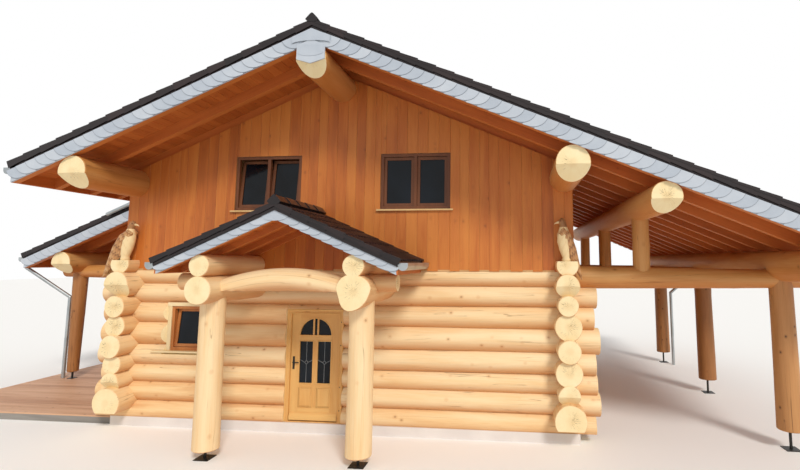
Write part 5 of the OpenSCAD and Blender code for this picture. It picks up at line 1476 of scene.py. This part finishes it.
def carvedBird(gather, side):
    place = (side * halfWidth, bird["perchY"], bird["perchZ"])
    flip, lean, spread = -side, bird["lean"][side], bird["spread"][side]
    table = np.array(bird["sections"])
    heights = np.linspace(0, 1, 53) ** 0.9 * 0.8
    turns = np.linspace(0, 2 * math.pi, bird["segments"], endpoint=False)
    rings, tones = [], []
    for z in heights:
        xc, rx, ry = [np.interp(z, table[:, 0], table[:, i]) for i in (1, 2, 3)]
        xc += lean * (z / 0.8) ** 1.6
        ripple = 1 + 0.03 * np.sin(7 * turns + 40 * z) * (0.1 < z < 0.6)
        rings.append([(xc + rx * k * math.cos(t), ry * k * math.sin(t), z) for t, k in zip(turns, ripple)])
        tones += [0.72 if z > 0.62 else 0.2 + 0.12 * math.sin(40 * z + 7 * t) - 0.2 * (z < 0.09) for t in turns]
    loft(gather, rings, flip, np.array(tones), place)
    headX = table[10, 1] + lean * (0.725 / 0.8) ** 1.6
    rings = [[(headX + x, ry * math.cos(t), 0.715 + z + rz * math.sin(t)) for t in turns]
             for x, z, ry, rz in bird["beak"]]
    loft(gather, rings, flip, 0.35, place)
    for s in (-1, 1):
        eye = [[(headX + 0.03 + 0.011 * math.cos(t), s * (0.047 + 0.012 * h), 0.735 + 0.011 * math.sin(t) * s * -1)
                for t in turns] for h in (0, 1)]
        loft(gather, eye, flip, 1.0, place)
    rows, columns = 57, 22
    across = np.linspace(0, 1, columns)

    def wingLine(key, t):
        table = np.array(bird[key])
        return [np.interp(t, table[:, 0], table[:, i]) for i in (1, 2)]
    for s in (-1, 1):
        rings, tones = [], []
        for t in np.linspace(0, 1, rows):
            a, b = wingLine("wingTop", t), wingLine("wingUnder", t)
            shift = lean * (1 - t) ** 2 * 0.7
            ax, bx = a[0] * (spread if a[0] < 0 else 1) + shift, b[0] * (spread if b[0] < 0 else 1) + shift
            feather = (t * bird["feathers"] - 0.4 * np.abs(np.sin(math.pi * 4 * across))) % 1.0
            body = 0.052 - 0.012 * t
            swell = np.sin(math.pi * np.clip(across, 0.02, 0.98)) ** 0.5
            outer = body + 0.05 * (1 - 0.6 * t) * swell + 0.008 * feather * np.sin(math.pi * across)
            top = [(ax + (bx - ax) * u, s * y, a[1] + (b[1] - a[1]) * u) for u, y in zip(across, outer)]
            under = [(ax + (bx - ax) * u, s * (body - 0.006), a[1] + (b[1] - a[1]) * u) for u in across[::-1]]
            rings.append(top + under if s > 0 else (top + under)[::-1])
            shade = [0.5 + 0.3 * (1 - f) ** 3 + 0.08 * t for f in feather] + [0.5] * columns
            tones += shade if s > 0 else shade[::-1]
        loft(gather, rings, flip, np.array(tones), place)
    rings = []
    for t in np.linspace(0, 1, 25):
        x = (1 - t) ** 2 * 0.0 + 2 * t * (1 - t) * -0.2 + t ** 2 * -0.385
        z = (1 - t) ** 2 * 0.4 + 2 * t * (1 - t) * 0.12 + t ** 2 * -0.28
        wide, thick = 0.034 + 0.024 * t, 0.03 - 0.014 * t
        ridge = 0.005 * np.abs(np.sin(3 * turns))
        rings.append([(x * spread + (thick + k) * math.sin(q) * -0.8, wide * math.cos(q),
                       z + (thick + k) * math.sin(q) * 0.5) for q, k in zip(turns, ridge)])
    loft(gather, rings, flip, 0.5, place)


def cornerBirds():
    gather = Gather()
    for side in (-1, 1):
        carvedBird(gather, side)
    gather.piece("cornerBirds", [birdWood], "house", "carved_wood", ["corner_birds"], 40)


# ---- finishes of the solids that stay
def plasterFinish():
    finish = Finish("baseRender", 0.9)
    places = finish.places()
    broad = finish.noise(places, 1.3, 3.0)
    fine = finish.noise(places, 60.0, 4.0)
    colour = finish.ramp(broad, [(0.3, linear("#e9e2dc")), (0.7, linear("#d9d0cb"))])
    return finish.paint(Base_Color=finish.mix(fine * 0.15, colour, linear("#b9aea8")),
                        Normal=finish.bump(fine, 0.5, 0.004))


def metalFinish(name, colour, dark, metallic, roughness, grainScale=30.0):
    finish = Finish(name, roughness, Metallic=metallic)
    places = finish.places()
    broad = finish.noise(places, 2.5, 4.0)
    fine = finish.noise(places, grainScale, 3.0)
    return finish.paint(Base_Color=finish.mix(broad.between(0.35, 0.7) * 0.6, linear(colour), linear(dark)),
                        Roughness=roughness + (fine - 0.5) * 0.2, Normal=finish.bump(fine, 0.08, 0.002))


def glassFinish():
    finish = Finish("paneGlass", 0.06, Specular_IOR_Level=0.2)
    places = finish.places()
    broad = finish.noise(places, 1.2, 2.0)
    # Opaque near-black panes: painted shade of the dark rooms behind the glass.
    colour = finish.ramp(broad, [(0.3, linear("#0b0d10")), (0.7, linear("#171e26"))])
    return finish.paint(Base_Color=colour, Normal=finish.bump(finish.noise(places, 2.0, 1.0), 0.03, 0.01))


def slateMaterial():
    finish = Finish("slate", 0.55)
    places = finish.places()
    tone = finish.attribute("tone", 2)
    broad = finish.noise(places, 5.0, 4.0)
    fine = finish.noise(finish.scaled(places, (6, 6, 20)), 8.0, 5.0, 0.7)
    level = tone * 0.35 + broad * 0.4 + fine * 0.25
    colour = finish.ramp(level, [(0.2, linear("#c3c9d1")), (0.5, linear("#b4bcc6")), (0.8, linear("#a3acb8"))])
    # Painted shadow: a dark line along each slate's rounded rim.
    colour = finish.mix(finish.attribute("edge", 2).between(0.15, 0.9) * 0.8, colour, linear("#5e6671"))
    return finish.paint(Base_Color=colour, Roughness=0.5 + fine * 0.25, Normal=finish.bump(fine, 0.35, 0.003))


def tileMaterial():
    finish = Finish("roofTile", 0.3, Coat_Weight=0.2, Coat_Roughness=0.15, Specular_IOR_Level=0.3)
    places = finish.places()
    tone = finish.attribute("tone", 2)
    broad = finish.noise(places, 1.8, 4.0)
    fine = finish.noise(places, 45.0, 4.0, 0.6)
    level = tone * 0.45 + broad * 0.4 + fine * 0.15
    colour = finish.ramp(level, [(0.2, linear("#2c1f1f")), (0.5, linear("#1f1617")), (0.85, linear("#140f10"))])
    return finish.paint(Base_Color=colour, Roughness=0.26 + fine * 0.22, Normal=finish.bump(fine, 0.2, 0.002))


slopeAngle = math.atan(house["slope"])
plaster = plasterFinish()
darkMetal = metalFinish("darkMetal", "#3a3836", "#232120", 0.7, 0.5)
zinc = metalFinish("zinc", "#b7bcbe", "#8f9698", 0.85, 0.38)
paneGlass = glassFinish()
# Painted bounce light: a paler orange on the rafters' down-facing faces.
rafterUnderPaintedLight = ("#d58440", 0.4, 0.6, 0.9)
alongX, alongY, alongZ = (0, 0, 0), (0, 0, math.pi / 2), (0, math.pi / 2, 0)
rafterLeft = woodFinish("rafterLeft", soffitTones, turn=(0, slopeAngle, 0), toneShare=0.2, checks=0.1, eyes=0.3,
                        under=rafterUnderPaintedLight)
rafterRight = woodFinish("rafterRight", soffitTones, turn=(0, -slopeAngle, 0), toneShare=0.2, checks=0.1, eyes=0.3,
                         under=rafterUnderPaintedLight)
eaveWood = woodFinish("eaveWood", soffitTones, turn=alongY, toneShare=0.2, checks=0.1, eyes=0.3)
floorWood = woodFinish("floorWood", floorTones, turn=alongX, toneShare=0.3, checks=0.1)
innerWood = woodFinish("innerWood", floorTones, turn=alongY, toneShare=0.3)
doorWood = woodFinish("doorWood", doorTones, turn=alongZ, toneShare=0.2, knots=2.0, checks=0.0, eyes=0.15)
# The darker tones given as above are painted shade on the upper storey's windows.
windowWood = woodFinish("windowWood", "#d08a4a #b87036 #955222 #6a3714", turn=alongZ, toneShare=0.2, knots=1.5,
                        checks=0.0, eyes=0.1, above="#7c4722 #643618 #48240f #301509")
sillWood = woodFinish("sillWood", "#e9cb98 #dbb276 #bd8a4c #8a5a30", turn=alongX, toneShare=0.2, checks=0.1)
deckWood = woodFinish("deckWood", "#d9ad8a #c2916d #a2714f #5b3a2a", turn=alongX, toneShare=0.35, checks=0.2,
                      ownTone=True)
greyWood = woodFinish("greyWood", "#a39d95 #87817a #69645e #3e3a36", turn=alongX, toneShare=0.3, checks=0.3)
doorBoards = woodFinish("doorBoards", doorTones, toneShare=0.3, knots=2.0, checks=0.0, eyes=0.12)
leadMetal = metalFinish("leadMetal", "#8f9497", "#62676b", 0.6, 0.45)
birdWood = woodFinish("birdWood", "#ecd2a0 #b98552 #6b4327 #4a2a14", toneShare=1.0, knots=2.0, checks=0.6, eyes=0.3)
caseWood = woodFinish("caseWood", "#efdcb4 #e3c793 #c99a5e #8a5a30", toneShare=0.2, knots=2.0, checks=0.1, eyes=0.3)
tileFinish = tileMaterial()
slateFinish = slateMaterial()
soffitBoards = woodFinish("soffitBoards", soffitTones, turn=(0, 0, -math.pi / 2), toneShare=0.16, knots=2.6,
                          checks=0.0, roughness=0.5, ownTone=True, eyes=0.4)

for material, nodes in (
        (plaster, "plinth"), (floorWood, "ground_floor upper_floor"), (eaveWood, "eave_boards"),
        (innerWood, "front_gable rear_gable left_knee_wall right_knee_wall"), (rafterLeft, "rafters_left"),
        (rafterRight, "rafters_right porch_rafters"), (doorWood, "door_frame"), (sillWood, "window_sills"),
        (windowWood, "window_frames window_sashes"), (paneGlass, "door_glass window_glass"),
        (darkMetal, "post_shoes door_handle door_hinges"), (greyWood, "deck_frame"), (zinc, "gutters downpipes")):
    for node in nodes.split():
        cad[node].data.materials.clear()
        cad[node].data.materials.append(material)
print("finishes given")
tileRoofs()
ridgeTiles()
vergeSlates()
gableBoards(-1, "frontGableBoards")
gableBoards(1, "rearGableBoards")
kneeBoards()
soffits()
deckBoards()
windowCasings()
gutterBrackets()
doorLeaf()
doorMouldings()
cornerBirds()
print("roof, boards and deck ready")

# ---- floor, light and camera
stage = {"floor": 160.0, "floorColour": "#faf9f7", "sky": 0.6, "sun": 1.95, "sunAngle": 14.0,
         "sunTurn": (52.0, 0.0, 28.0)}
view = {"lens": 21.83, "sensor": 36.0, "shift": (-0.081, -0.034), "reach": 500, "place": (3.482, -12.996, 3.239),
        "yaw": 0.107, "pitch": 0.110, "roll": 0.003}


def setStage():
    scene = bpy.context.scene
    mesh = bpy.data.meshes.new("floor")
    h = stage["floor"] / 2
    mesh.from_pydata([(-h, -h, 0), (h, -h, 0), (h, h, 0), (-h, h, 0)], [], [(0, 1, 2, 3)])
    floor = bpy.data.objects.new("floor", mesh)
    scene.collection.objects.link(floor)
    finish = Finish("floor", 0.9)
    finish.shader.inputs["Base Color"].default_value = linear(stage["floorColour"])
    mesh.materials.append(finish.material)
    world = bpy.data.worlds.new("sky")
    scene.world = world
    world.use_nodes = True
    tree = world.node_tree
    back = next(n for n in tree.nodes if n.type == "BACKGROUND")
    back.inputs[0].default_value = (1, 1, 1, 1)
    seen, glossy, clear = [addNode(tree, "ShaderNodeLightPath", {}, {}, output) for output in (0, 3, 6)]
    share = seen.maths("MAXIMUM", glossy).maths("MAXIMUM", clear)
    strength = share * (1.0 - stage["sky"]) + stage["sky"]
    tree.links.new(strength.socket, back.inputs[1])
    lamp = bpy.data.lights.new("sun", "SUN")
    lamp.energy = stage["sun"]
    lamp.angle = math.radians(stage["sunAngle"])
    lamp.color = (1.0, 0.97, 0.92)
    sun = bpy.data.objects.new("sun", lamp)
    sun.rotation_euler = [math.radians(v) for v in stage["sunTurn"]]
    scene.collection.objects.link(sun)
    camera = bpy.data.cameras.new("camera")
    camera.lens = view["lens"]
    camera.sensor_width = view["sensor"]
    camera.shift_x, camera.shift_y = view["shift"]
    camera.clip_end = view["reach"]
    holder = bpy.data.objects.new("camera", camera)
    scene.collection.objects.link(holder)
    yaw, pitch = view["yaw"], view["pitch"]
    holder.location = view["place"]
    ahead = Vector((-math.sin(yaw) * math.cos(pitch), math.cos(yaw) * math.cos(pitch), math.sin(pitch)))
    holder.rotation_mode = "QUATERNION"
    turned = ahead.to_track_quat("-Z", "Y")
    holder.rotation_quaternion = turned @ Matrix.Rotation(view["roll"], 3, "Z").to_quaternion()
    scene.camera = holder
    scene.view_settings.view_transform = "Standard"


setStage()
